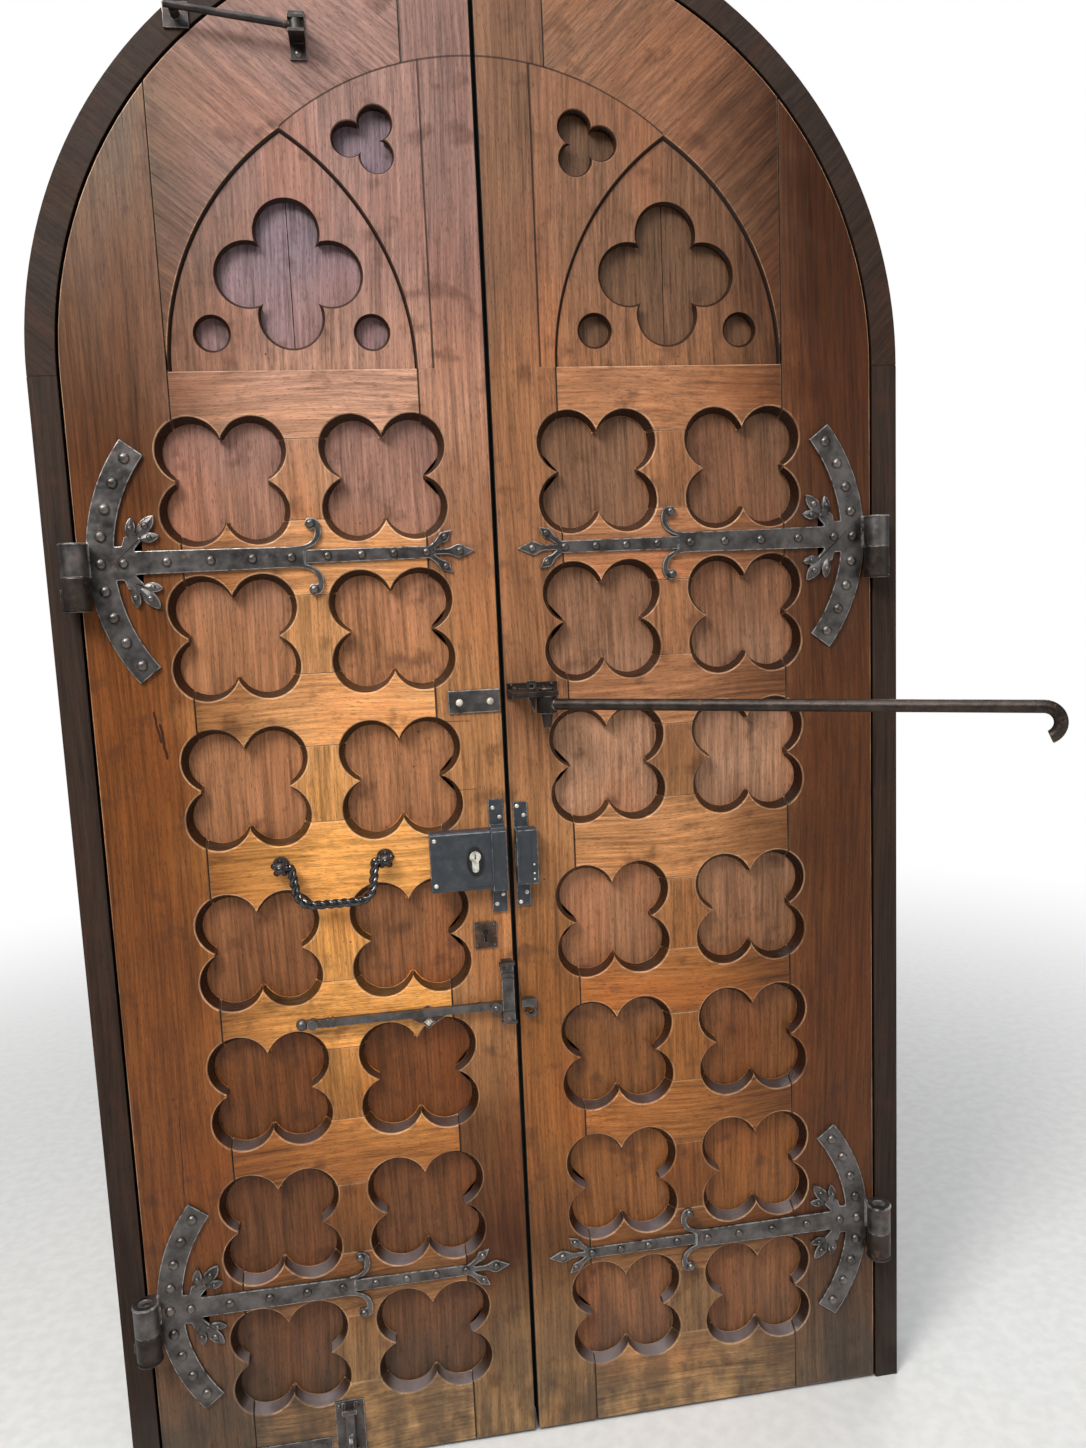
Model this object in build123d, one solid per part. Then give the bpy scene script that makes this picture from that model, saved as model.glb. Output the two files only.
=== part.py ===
# Arched double-leaf oak door in its frame, with wrought strap hinges and surface ironwork.
# X runs to the right, Y away from the viewer and Z up. Y = 0 is the front of the closed
# leaves, X = 0 the meeting line and Z = 0 the floor. The leaves open towards the viewer.
# The timber of one leaf is modelled at positive X and mirrored for the left one.

import os
from math import atan2, cos, degrees, hypot, pi, radians, sin, sqrt

from build123d import *

# Door opening and arch
door_half_width = 596.0
arch_centre_z = 1716.0
leaf_foot_z = 6.0
meeting_gap = 6.0

# Leaf build-up: a framed front over upright boards
front_thickness = 22.0
board_thickness = 32.0
board_pitch = 230.0
board_first_joint_x = 45.0
board_gap = 0.6
timber_joint = 0.3

# Stiles, rails and short upright muntins
meeting_stile_width = 99.0
field_width = 351.0
rail_height = 108.0
bottom_rail_top_z = 139.0

# Quatrefoils cut in the framed front
near_column_x = 160.0
column_pitch = 228.0
lowest_row_z = 197.0
row_pitch = 224.0
lock_rail_extra = 26.0
rows_below_lock_rail = 4
rows_above_lock_rail = 3
foil_reach = 92.0
foil_cusp = 62.0
foil_bevel_reach = 10.0
foil_bevel_cusp = 12.0
foil_lip_depth = 18.5
foil_undercut = 2.5

# Tympanum under the arch
tympanum_rise = 4.0
arch_rail_width = 164.0
tympanum_side_x = 79.0
lancet_centre_x = 276.0
lancet_half_width = 175.0
lancet_height = 327.0
lancet_recess = 5.0
lancet_splay = 4.0
lancet_land = 0.5
window_foil_rise = 132.0
window_foil_reach = 104.0
window_foil_notch = 45.0
roundel_offset_x = 112.0
roundel_rise = 52.0
roundel_radius = 26.0
trefoil_inset = 78.0
trefoil_angle = 63.9
trefoil_lobe_offset = 25.0
trefoil_lobe_radius = 26.0
window_splay = 4.0
window_lip_depth = 6.0

# Rebated frame round the leaves
frame_gap = 4.0
frame_face_width = 40.0
frame_depth = 90.0
stop_lap = 21.0
stop_gap = 4.0

# Strap hinges
upper_strap_z = 1456.0
lower_strap_z = 309.0
strap_thickness = 6.0
strap_tail_thickness = 4.5
strap_root_half_width = 17.0
strap_mid_half_width = 15.0
strap_tail_half_width = 10.0
strap_end_half_width = 9.0
strap_step_inset = 315.0
strap_lap = 5.0
strap_end_x = 92.0
root_web_inset = 62.0
root_web_half_height = 24.0
crescent_radius = 264.0
crescent_width = 38.0
crescent_inset = 13.0
crescent_half_angle = 37.6
fleur_lap = 12.0
fleur_tip_x = 32.0
fleur_side_x = 65.0
fleur_side_rise = 31.5
fleur_stem_half_width = 4.2
fleur_middle_half_width = 10.4
fleur_side_half_width = 7.8
fleur_neck_share = 0.4
fleur_shoulder_share = 0.7
scroll_ball_inset = 326.0
scroll_ball_rise = 47.5
scroll_ball_radius = 8.0
scroll_neck_offset = 6.0
scroll_neck_drop = 9.5
scroll_width = 9.0
scroll_run = 38.0
scroll_crotch_run = 11.0
scroll_crotch_slope = 0.35
spray_hub_inset = 83.0
spray_hub_rise = 36.0
spray_stem_width = 17.0
spray_crotch_rise = 19.0
spray_elbow = 6.0
# Each leaf of a spray: where it starts and where it ends from the hub, and half its width.
spray_leaves = [
    ((9.0, -3.0), (5.0, 28.0), 7.0),
    ((0.0, 0.0), (-26.0, 30.0), 9.0),
    ((-4.0, -3.0), (-31.5, 1.0), 7.0),
]

# Knuckles and pintles
knuckle_radius = 19.0
knuckle_half_height = 48.0
knuckle_drop = 18.0
knuckle_standoff = 22.0
knuckle_link_thickness = 9.0
knuckle_link_lap = 4.0
pintle_radius = 9.0
pin_clearance = 0.05
seat_gap = 0.3
shank_size = 16.0
shank_outset = 6.0
shank_reach = 50.0

# Rim lock on the left leaf and its keeper
lock_left_x = -125.0
lock_right_x = -8.0
lock_centre_z = 988.0
lock_height = 91.0
lock_depth = 24.0
lock_wall = 3.0
lock_band_width = 23.0
lock_band_thickness = 3.5
lock_ear_height = 40.0
lock_ear_thickness = 4.0
keeper_left_x = 7.0
keeper_width = 33.0
keeper_ear_width = 22.0
cylinder_x = -57.0
cylinder_z = 987.0
cylinder_radius = 8.5
cylinder_tail_radius = 5.0
cylinder_height = 33.0
cylinder_proud = 4.0
cylinder_clearance = 0.1
plug_radius = 6.5
plug_depth = 18.0
keyway_width = 2.0
keyway_height = 8.0
lock_bolt_length = 38.0
lock_bolt_height = 34.0
lock_bolt_thickness = 11.0
lock_bolt_back = 7.0
slide_clearance = 0.5

# Square keyhole plate
keyhole_plate_x = -44.5
keyhole_plate_z = 863.0
keyhole_plate_width = 35.0
keyhole_plate_height = 42.0
keyhole_plate_thickness = 3.0
keyhole_radius = 4.5
keyhole_slot_width = 5.0
keyhole_slot_drop = 12.0

# Fall bar latch
latch_z = 751.0
latch_pivot_x = -317.0
latch_bar_height = 12.0
latch_bar_thickness = 8.0
latch_bar_standoff = 7.0
latch_bar_end_x = -6.0
latch_ball_radius = 9.0
latch_ball_offset = 16.0
latch_pivot_radius = 4.0
latch_pivot_head_radius = 8.0
latch_pivot_head = 3.0
latch_collar_radius = 6.0
latch_knob_x = -36.0
latch_knob_radius = 9.0
latch_knob_length = 12.0
latch_guide_width = 19.0
latch_guide_top_z = 822.0
latch_guide_foot_z = 722.0
latch_guide_thickness = 3.0
latch_guide_clearance = 1.0
latch_rose_x = -141.0
latch_rose_z = 741.0
latch_rose_half_width = 31.0
latch_rose_drop = 18.0
latch_rose_thickness = 3.0
latch_nut_size = 14.0
catch_left_x = 6.0
catch_right_x = 29.0
catch_foot_inset = 4.0
catch_hook_radius = 7.0
catch_hook_bar = 3.0
catch_hook_start = -170.0
catch_hook_end = 95.0

# Drop handle
handle_left_x = -347.0
handle_right_x = -192.0
handle_z = 1000.0
handle_standoff = 24.0
handle_drop = 60.0
handle_bar_radius = 6.0
handle_bend_radius = 26.0
handle_pin_radius = 4.0
handle_splay = 8.0
rosette_radius = 13.0
rosette_boss_radius = 9.0
rosette_stem_radius = 5.4
rosette_base = 4.0

# Hasp plate and stay on the meeting stiles
hasp_left_x = -84.0
hasp_right_x = -5.0
hasp_z = 1230.0
hasp_height = 35.0
hasp_thickness = 4.0
hasp_chamfer = 1.0
stay_plate_left_x = 6.0
stay_plate_right_x = 84.0
stay_plate_height = 24.0
stay_shelf_z = 1242.0
stay_shelf_thickness = 7.0
stay_shelf_right_x = 74.0
stay_pin_x = 58.0
stay_pin_y = -58.0
stay_pin_radius = 7.0
stay_pin_head = 4.0
stay_pin_head_radius = 11.0
stay_pin_foot = 22.0
stay_pin_foot_radius = 9.0
stay_pin_tail_radius = 5.4
stay_eye_radius = 15.0
stay_eye_height = 26.0
stay_bar_radius = 8.5
stay_bar_length = 690.0
stay_bar_angle = -32.0
stay_hook_radius = 20.0
stay_hook_sweep = 156.0
wedge_x = 36.0
wedge_width = 14.0
wedge_thickness = 5.0
wedge_rise = 16.0
wedge_drop = 26.0
wedge_window_width = 7.0
wedge_window_height = 5.6

# Head stay on the left leaf
head_stay_inset = 85.0
head_stay_angle = 61.7
head_plate_width = 22.0
head_plate_half_height = 32.0
head_plate_thickness = 4.0
head_fork_depth = 40.0
head_eye_half_height = 6.5
head_eye_radius = 10.4
head_pin_radius = 3.25
head_rod_radius = 4.8
head_rod_overhang = 11.0
head_rest_angle = 49.5
head_rest_size = 34.0
head_rest_nose_radius = 6.5

# Foot bolt on the left leaf
foot_bolt_x = -303.0
foot_plate_width = 46.0
foot_plate_foot_z = 14.0
foot_plate_height = 98.0
foot_plate_thickness = 3.0
foot_rod_size = 14.0
foot_rod_length = 92.0
foot_staple_width = 8.0
foot_staple_inset = 4.0
foot_staple_wall = 4.0
foot_pull_rise = 41.0
foot_pull_radius = 11.0
foot_pull_bar = 6.0
kick_strip_gap = 8.0
kick_strip_width = 129.0
kick_strip_z = 40.0
kick_strip_height = 24.0

overcut = 1.0
leaf_thickness = front_thickness + board_thickness
meeting_edge_x = meeting_gap / 2
meeting_stile_x = meeting_edge_x + meeting_stile_width
hinge_stile_x = meeting_stile_x + field_width
leaf_top_z = arch_centre_z + door_half_width
tympanum_base_z = arch_centre_z + tympanum_rise
tympanum_arc_radius = door_half_width - arch_rail_width
crescent_outer_x = door_half_width - crescent_inset
strap_step_x = door_half_width - strap_step_inset
scroll_ball_x = door_half_width - scroll_ball_inset
spray_hub_x = door_half_width - spray_hub_inset
columns = [near_column_x, near_column_x + column_pitch]
lock_row = rows_below_lock_rail
rows = [
    lowest_row_z + row_pitch * n + (lock_rail_extra if n >= lock_row else 0.0)
    for n in range(rows_below_lock_rail + rows_above_lock_rail)
]


def on_face(sketch, front_y, back_y):
    """Solid over an upright sketch in X and Z, from its front to its back."""
    plane = Plane(origin=(0, back_y, 0), x_dir=(1, 0, 0), z_dir=(0, -1, 0))
    return extrude(plane * sketch, amount=back_y - front_y)


def block(x_low, x_high, y_low, y_high, z_low, z_high):
    size = (x_high - x_low, y_high - y_low, z_high - z_low)
    middle = ((x_low + x_high) / 2, (y_low + y_high) / 2, (z_low + z_high) / 2)
    return Pos(*middle) * Box(*size)


def span(x_low, x_high, z_low, z_high):
    """Upright rectangle as a sketch in X and Z."""
    middle = ((x_low + x_high) / 2, (z_low + z_high) / 2)
    return Pos(*middle) * Rectangle(x_high - x_low, z_high - z_low)


def upright_rod(x, y, z_low, z_high, radius):
    return Pos(x, y, (z_low + z_high) / 2) * Cylinder(radius, z_high - z_low)


def rod_along_y(x, z, y_low, y_high, radius):
    return Pos(x, (y_low + y_high) / 2, z) * Rot(90, 0, 0) * Cylinder(radius, y_high - y_low)


def rod_along_x(x_low, x_high, y, z, radius):
    return Pos((x_low + x_high) / 2, y, z) * Rot(0, 90, 0) * Cylinder(radius, x_high - x_low)


def on_arch(radius, angle):
    """Point in X and Z at this distance and angle from the arch's centre."""
    turn = radians(angle)
    return radius * cos(turn), arch_centre_z + radius * sin(turn)


def to_left(shape):
    return mirror(shape, about=Plane.YZ)


def foil_lobe(reach, cusp):
    """Centre offset and radius of four diagonal lobes with this reach and cusp distance."""
    gap = reach - cusp
    offset = sqrt(gap**2 + reach**2 - cusp**2) - gap
    return offset, reach - offset


def quatrefoil(reach, cusp):
    """Four-lobed outline with its cusps on the axes."""
    offset, radius = foil_lobe(reach, cusp)
    far = offset + radius / sqrt(2)
    points = [(0, cusp), (-cusp, 0), (0, -cusp), (cusp, 0)]
    tops = [(-far, far), (-far, -far), (far, -far), (far, far)]
    arcs = [
        ThreePointArc(points[n], tops[n], points[(n + 1) % 4])
        for n in range(4)
    ]
    return make_face(arcs)


def splayed(outlines):
    """Cutter with straight sloping sides between outlines given with their depths."""
    faces = [
        Plane(origin=(0, depth, 0), x_dir=(1, 0, 0), z_dir=(0, -1, 0)) * outline
        for depth, outline in outlines
    ]
    return loft(Sketch() + faces, ruled=True)


def bevelled_foil():
    """Cutter for one quatrefoil: splayed down to a lip and undercut in front of the boards."""
    outlines = []
    for depth in (-overcut, foil_lip_depth):
        share = depth / foil_lip_depth
        outline = quatrefoil(
            foil_reach - foil_bevel_reach * share, foil_cusp - foil_bevel_cusp * share
        )
        outlines.append((depth, outline))
    shadow = quatrefoil(
        foil_reach - foil_bevel_reach + foil_undercut, foil_cusp - foil_bevel_cusp + foil_undercut
    )
    undercut = on_face(shadow, foil_lip_depth, front_thickness + overcut)
    return splayed(outlines) + undercut


def lancet(inset=0.0):
    """Pointed arch of two arcs struck from its base line, both drawn in by an inset."""
    struck = (lancet_half_width**2 + lancet_height**2) / (2 * lancet_half_width)
    centre = struck - lancet_half_width
    radius = struck - inset
    half = radius - centre
    height = sqrt(radius**2 - centre**2)
    low_angle = atan2(height, centre) / 2
    bow_x = radius * cos(low_angle) - centre
    bow_z = radius * sin(low_angle)
    left = ThreePointArc((-half, 0), (-bow_x, bow_z), (0, height))
    right = ThreePointArc((0, height), (bow_x, bow_z), (half, 0))
    outline = make_face([left, right, Line((half, 0), (-half, 0))])
    return Pos(lancet_centre_x, tympanum_base_z) * outline


def leaf_outline():
    """One leaf seen from the front, its head following the arch."""
    head_z = arch_centre_z + sqrt(door_half_width**2 - meeting_edge_x**2)
    shoulder = on_arch(door_half_width, 45)
    edges = [
        Line((meeting_edge_x, leaf_foot_z), (door_half_width, leaf_foot_z)),
        Line((door_half_width, leaf_foot_z), (door_half_width, arch_centre_z)),
        ThreePointArc((door_half_width, arch_centre_z), shoulder, (meeting_edge_x, head_z)),
        Line((meeting_edge_x, head_z), (meeting_edge_x, leaf_foot_z)),
    ]
    return make_face(edges)


def tympanum_region():
    """The panel under the arch: beside the stile, below the ring and inside the lancet."""
    disc = Pos(0, arch_centre_z) * Circle(tympanum_arc_radius)
    top_z = arch_centre_z + tympanum_arc_radius
    inner_side = disc & span(tympanum_side_x, lancet_centre_x, tympanum_base_z, top_z)
    return inner_side + lancet()


def foil_cutters():
    cutter = bevelled_foil()
    return [Pos(x, 0, z) * cutter for x in columns for z in rows]


def rail_spans():
    """Lowest and highest Z of each rail, from the foot up."""
    spans = [(leaf_foot_z, bottom_rail_top_z)]
    for low_row, high_row in zip(rows, rows[1:]):
        middle = (low_row + high_row) / 2
        half = (high_row - low_row - row_pitch + rail_height) / 2
        spans.append((middle - half, middle + half))
    top_low = rows[-1] + (row_pitch - rail_height) / 2
    spans.append((top_low, tympanum_base_z))
    return spans


def cut_foils(piece, cutters):
    low, high = piece.bounding_box().min, piece.bounding_box().max
    for cutter in cutters:
        box = cutter.bounding_box()
        apart_x = box.max.X < low.X or box.min.X > high.X
        apart_z = box.max.Z < low.Z or box.min.Z > high.Z
        if not (apart_x or apart_z):
            piece = piece - cutter
    return piece


def hinge_stile(outline, cutters):
    strip = outline & span(hinge_stile_x, door_half_width, leaf_foot_z, leaf_top_z)
    return cut_foils(on_face(strip, 0, front_thickness), cutters)


def meeting_stile(outline, cutters):
    strip = outline & span(meeting_edge_x, meeting_stile_x, leaf_foot_z, leaf_top_z)
    strip = strip - tympanum_region()
    return cut_foils(on_face(strip, 0, front_thickness), cutters)


def rails(cutters):
    low_x = meeting_stile_x + timber_joint
    high_x = hinge_stile_x - timber_joint
    pieces = [
        on_face(span(low_x, high_x, low_z, high_z), 0, front_thickness)
        for low_z, high_z in rail_spans()
    ]
    return [cut_foils(piece, cutters) for piece in pieces]


def muntins(cutters):
    middle = sum(columns) / 2
    half = (column_pitch - 2 * foil_cusp) / 2 + timber_joint
    pieces = []
    spans = rail_spans()
    for below, above in zip(spans, spans[1:]):
        region = span(middle - half, middle + half, below[1] + timber_joint, above[0] - timber_joint)
        pieces.append(cut_foils(on_face(region, 0, front_thickness), cutters))
    return pieces


def arch_rail(outline):
    low_x, high_x = meeting_stile_x + timber_joint, hinge_stile_x - timber_joint
    region = outline & span(low_x, high_x, tympanum_base_z + timber_joint, leaf_top_z)
    region = region - tympanum_region()
    return on_face(region, 0, front_thickness)


def round_light(x, z, radius, face_depth):
    """Cutter for a round opening: splayed from its face down to a lip and undercut behind it."""
    lip_depth = face_depth + window_lip_depth
    slope = window_splay / window_lip_depth
    narrow = radius - window_splay
    taper = Cone(narrow, radius + slope * overcut, window_lip_depth + overcut)
    front = Pos(x, (face_depth - overcut + lip_depth) / 2, z) * Rot(90, 0, 0) * taper
    return front + rod_along_y(x, z, lip_depth, front_thickness + overcut, narrow + foil_undercut)


def ring_of_lights(x, z, count, offset, radius, face_depth):
    """Lobes round a middle, and a disc that clears the middle as far as neighbours overlap."""
    middle = offset * cos(pi / count)
    cutters = [rod_along_y(x, z, face_depth - overcut, front_thickness + overcut, middle)]
    for n in range(count):
        turn = 2 * pi * n / count
        lobe_x, lobe_z = x + offset * cos(turn), z + offset * sin(turn)
        cutters.append(round_light(lobe_x, lobe_z, radius, face_depth))
    return cutters


def window_lights():
    """Four lobes on the axes, between two roundels, all in the lancet's sunk field."""
    notch = window_foil_notch
    offset = (window_foil_reach**2 - 2 * notch**2) / (2 * (window_foil_reach - notch))
    radius = window_foil_reach - offset
    foil_z = tympanum_base_z + window_foil_rise
    cutters = ring_of_lights(lancet_centre_x, foil_z, 4, offset, radius, lancet_recess)
    roundel_z = tympanum_base_z + roundel_rise
    for x in (lancet_centre_x - roundel_offset_x, lancet_centre_x + roundel_offset_x):
        cutters.append(round_light(x, roundel_z, roundel_radius, lancet_recess))
    return cutters


def trefoil():
    """Three lobes, one of them pointing at the hinge stile."""
    x, z = on_arch(tympanum_arc_radius - trefoil_inset, trefoil_angle)
    return ring_of_lights(x, z, 3, trefoil_lobe_offset, trefoil_lobe_radius, 0)


def tympanum_panel():
    panel = on_face(tympanum_region(), 0, front_thickness)
    outer = lancet(lancet_land - lancet_splay * overcut / lancet_recess)
    sunk = lancet(lancet_land + lancet_splay)
    panel = panel - splayed([(-overcut, outer), (lancet_recess, sunk)])
    for cutter in window_lights() + trefoil():
        panel = panel - cutter
    return panel


def boards(outline):
    """Upright boards behind the framed front."""
    joints = []
    joint_x = board_first_joint_x
    while joint_x < door_half_width:
        joints.append(joint_x)
        joint_x += board_pitch
    edges = [meeting_edge_x - board_gap] + joints + [door_half_width + board_gap]
    pieces = []
    for low, high in zip(edges, edges[1:]):
        strip = outline & span(low + board_gap / 2, high - board_gap / 2, leaf_foot_z, leaf_top_z)
        pieces.append(on_face(strip, front_thickness, leaf_thickness))
    return pieces


def leaf_shape(root, tip, half_width):
    """Lens-shaped leaf between two points."""
    dx, dz = tip[0] - root[0], tip[1] - root[1]
    length = sqrt(dx**2 + dz**2)
    middle = ((root[0] + tip[0]) / 2, (root[1] + tip[1]) / 2)
    side = (-dz / length * half_width, dx / length * half_width)
    above = (middle[0] + side[0], middle[1] + side[1])
    below = (middle[0] - side[0], middle[1] - side[1])
    return make_face([ThreePointArc(root, above, tip), ThreePointArc(tip, below, root)])


def ring_sector(centre, inner, outer, start, end):
    """Part of a flat ring between two angles in degrees."""
    def at(radius, angle):
        turn = radians(angle)
        return (centre[0] + radius * cos(turn), centre[1] + radius * sin(turn))

    middle = (start + end) / 2
    edges = [
        ThreePointArc(at(outer, start), at(outer, middle), at(outer, end)),
        Line(at(outer, end), at(inner, end)),
        ThreePointArc(at(inner, end), at(inner, middle), at(inner, start)),
        Line(at(inner, start), at(outer, start)),
    ]
    return make_face(edges)


def crescent():
    centre = (crescent_outer_x - crescent_width / 2 - crescent_radius, 0)
    inner = crescent_radius - crescent_width / 2
    outer = crescent_radius + crescent_width / 2
    return ring_sector(centre, inner, outer, -crescent_half_angle, crescent_half_angle)


def mirrored_outline(upper):
    """Face between a row of points and its mirror image in the strap's middle line."""
    lower = [(x, -z) for x, z in reversed(upper)]
    return make_face(Polyline(*upper, *lower, close=True))


def strap_band():
    """Wide part of the strap, from the crescent to the step."""
    root_x = crescent_outer_x - crescent_width / 2
    return mirrored_outline([(root_x, strap_root_half_width), (strap_step_x, strap_mid_half_width)])


def strap_tail():
    """Narrow part of the strap, from the step to the leaves at its end."""
    start_x = strap_step_x + strap_lap
    return mirrored_outline([(start_x, strap_tail_half_width), (strap_end_x, strap_end_half_width)])


def lance(root, tip, half_width):
    """Leaf on a stem: a straight neck that swells to its shoulders and runs to a point."""
    dx, dz = tip[0] - root[0], tip[1] - root[1]
    length = sqrt(dx**2 + dz**2)
    along = (dx / length, dz / length)

    def at(share, side):
        return (root[0] + dx * share - along[1] * side, root[1] + dz * share + along[0] * side)

    stem = fleur_stem_half_width
    upper = [at(0, stem), at(fleur_neck_share, stem), at(fleur_shoulder_share, half_width)]
    lower = [at(0, -stem), at(fleur_neck_share, -stem), at(fleur_shoulder_share, -half_width)]
    return make_face([
        Line(lower[0], upper[0]),
        Line(upper[0], upper[1]),
        Spline(upper[1], upper[2], tangents=[along, along]),
        Line(upper[2], tip),
        Line(tip, lower[2]),
        Spline(lower[1], lower[2], tangents=[along, along]),
        Line(lower[1], lower[0]),
    ])


def fleur():
    """Three leaves that end the strap."""
    root = (strap_end_x + fleur_lap, 0)
    shape = lance(root, (fleur_tip_x, 0), fleur_middle_half_width)
    for side in (-1, 1):
        shape = shape + lance(root, (fleur_side_x, side * fleur_side_rise), fleur_side_half_width)
    return shape


def scroll():
    """Curl that swings out of the strap's upper edge and back to a ball."""
    ball = (scroll_ball_x, scroll_ball_rise)
    top = (scroll_ball_x, scroll_ball_rise + scroll_ball_radius)
    neck = (scroll_ball_x - scroll_neck_offset, scroll_ball_rise - scroll_neck_drop)
    flank = (neck[0] - scroll_width, neck[1])
    root = (scroll_ball_x + scroll_run, strap_mid_half_width)
    crotch = (scroll_ball_x + scroll_crotch_run, strap_tail_half_width)
    curl = make_face([
        Spline(root, neck, tangents=[(-1, 0), (0, 1)]),
        Line(neck, ball),
        Line(ball, top),
        Spline(top, flank, tangents=[(-1, 0), (0, -1)]),
        Spline(flank, crotch, tangents=[(0, -1), (1, -scroll_crotch_slope)]),
        Line(crotch, (crotch[0], 0)),
        Line((crotch[0], 0), (root[0], 0)),
        Line((root[0], 0), root),
    ])
    return curl + Pos(*ball) * Circle(scroll_ball_radius)


def spray():
    """Three small leaves on a stem that grows out of the strap's upper edge at its root."""
    crescent_x = crescent_outer_x - crescent_width / 2
    web_x = door_half_width - root_web_inset
    crotch_x = web_x - spray_stem_width
    shape = make_face(Polyline(
        (crescent_x, 0),
        (crescent_x, root_web_half_height),
        (web_x, root_web_half_height),
        (spray_hub_x + spray_stem_width, spray_hub_rise),
        (spray_hub_x, spray_hub_rise + spray_elbow),
        (spray_hub_x - spray_elbow, spray_hub_rise - spray_elbow),
        (crotch_x, spray_crotch_rise),
        (crotch_x, 0),
        close=True,
    ))
    for start, end, half_width in spray_leaves:
        root = (spray_hub_x + start[0], spray_hub_rise + start[1])
        tip = (spray_hub_x + end[0], spray_hub_rise + end[1])
        shape = shape + leaf_shape(root, tip, half_width)
    return shape


def strap_hinge(axis_z):
    """Forged strap with its crescent, curls, sprays and the eye that turns on the pintle."""
    branches = scroll() + spray()
    wide = crescent() + strap_band() + branches + mirror(branches, about=Plane.XZ)
    narrow = strap_tail() + fleur()
    strap = on_face(Pos(0, axis_z) * wide, -strap_thickness, 0)
    strap = strap + on_face(Pos(0, axis_z) * narrow, -strap_tail_thickness, 0)
    eye_low = axis_z - knuckle_drop
    eye_high = eye_low + knuckle_half_height
    eye = upright_rod(door_half_width, -knuckle_standoff, eye_low, eye_high, knuckle_radius)
    link = block(
        crescent_outer_x - knuckle_link_lap, door_half_width,
        -knuckle_link_thickness, 0, eye_low, eye_high,
    )
    bore = upright_rod(
        door_half_width, -knuckle_standoff, eye_low - overcut, eye_high + overcut,
        pintle_radius + pin_clearance,
    )
    return strap + link + eye - bore


def shank_block(axis_z, clearance=0.0):
    middle_z = axis_z - knuckle_drop - knuckle_half_height / 2
    half = shank_size / 2 + clearance
    middle_x = door_half_width + shank_outset + shank_size / 2
    return block(
        middle_x - half, middle_x + half, -knuckle_standoff, shank_reach + clearance,
        middle_z - half, middle_z + half,
    )


def pintle(axis_z):
    """Pin on a driven square shank, with the collar that carries the eye."""
    joint_z = axis_z - knuckle_drop
    pin = upright_rod(
        door_half_width, -knuckle_standoff, joint_z - overcut,
        joint_z + knuckle_half_height - overcut, pintle_radius,
    )
    collar = upright_rod(
        door_half_width, -knuckle_standoff, joint_z - knuckle_half_height,
        joint_z - seat_gap, knuckle_radius,
    )
    return collar + pin + shank_block(axis_z)


def jamb():
    inner = door_half_width + frame_gap
    outer = inner + frame_face_width
    post = block(inner, outer, 0, frame_depth, 0, arch_centre_z)
    stop_y = leaf_thickness + stop_gap
    post = post + block(inner - stop_lap - frame_gap, outer, stop_y, frame_depth, 0, arch_centre_z)
    for axis_z in (upper_strap_z, lower_strap_z):
        post = post - shank_block(axis_z)
    return post


def frame_head():
    """Quarter of the arched head, from the springing to the crown."""
    inner = door_half_width + frame_gap
    outer = inner + frame_face_width
    centre = (0, arch_centre_z)
    ring = on_face(ring_sector(centre, inner, outer, 0, 90), 0, frame_depth)
    stop_inner = inner - stop_lap - frame_gap
    stop = on_face(
        ring_sector(centre, stop_inner, outer, 0, 90), leaf_thickness + stop_gap, frame_depth
    )
    return ring + stop


def lock_case():
    """Folded case, open at the back, with the cylinder hole and the bolt's mouth."""
    low_z = lock_centre_z - lock_height / 2
    high_z = lock_centre_z + lock_height / 2
    case = block(lock_left_x, lock_right_x, -lock_depth, 0, low_z, high_z)
    hollow = block(
        lock_left_x + lock_wall, lock_right_x - lock_wall, -lock_depth + lock_wall, overcut,
        low_z + lock_wall, high_z - lock_wall,
    )
    mouth = bolt_block(slide_clearance, lock_right_x - lock_wall - overcut, lock_right_x + overcut)
    hole = on_face(cylinder_profile(cylinder_clearance), -lock_depth - overcut, 0)
    return case - hollow - mouth - hole


def bolt_block(clearance, low_x, high_x):
    half = lock_bolt_height / 2 + clearance
    back_y = -lock_bolt_back + clearance
    front_y = -lock_bolt_back - lock_bolt_thickness - clearance
    return block(low_x, high_x, front_y, back_y, lock_centre_z - half, lock_centre_z + half)


def lock_band():
    """Strap over the meeting end of the case, with a screwed ear above and below."""
    low_x = lock_right_x - lock_band_width
    half = lock_height / 2 + seat_gap
    outer = half + lock_band_thickness
    front_y = -lock_depth - seat_gap - lock_band_thickness
    low_z, high_z = lock_centre_z - outer, lock_centre_z + outer
    band = block(low_x, lock_right_x, front_y, 0, low_z, high_z)
    band = band - block(
        low_x - overcut, lock_right_x + overcut, -lock_depth - seat_gap, overcut,
        lock_centre_z - half, lock_centre_z + half,
    )
    ear_low, ear_high = low_z - lock_ear_height, high_z + lock_ear_height
    band = band + block(low_x, lock_right_x, -lock_ear_thickness, 0, high_z - overcut, ear_high)
    return band + block(low_x, lock_right_x, -lock_ear_thickness, 0, ear_low, low_z + overcut)


def cylinder_profile(clearance=0.0):
    """Keyhole-shaped outline of the lock cylinder."""
    head_z = cylinder_z + cylinder_height / 2 - cylinder_radius
    foot_z = cylinder_z - cylinder_height / 2 + cylinder_tail_radius
    tail = cylinder_tail_radius + clearance
    outline = Pos(cylinder_x, head_z) * Circle(cylinder_radius + clearance)
    outline = outline + Pos(cylinder_x, foot_z) * Circle(tail)
    return outline + span(cylinder_x - tail, cylinder_x + tail, foot_z, head_z)


def plug_centre():
    return cylinder_x, cylinder_z + cylinder_height / 2 - cylinder_radius


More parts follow.
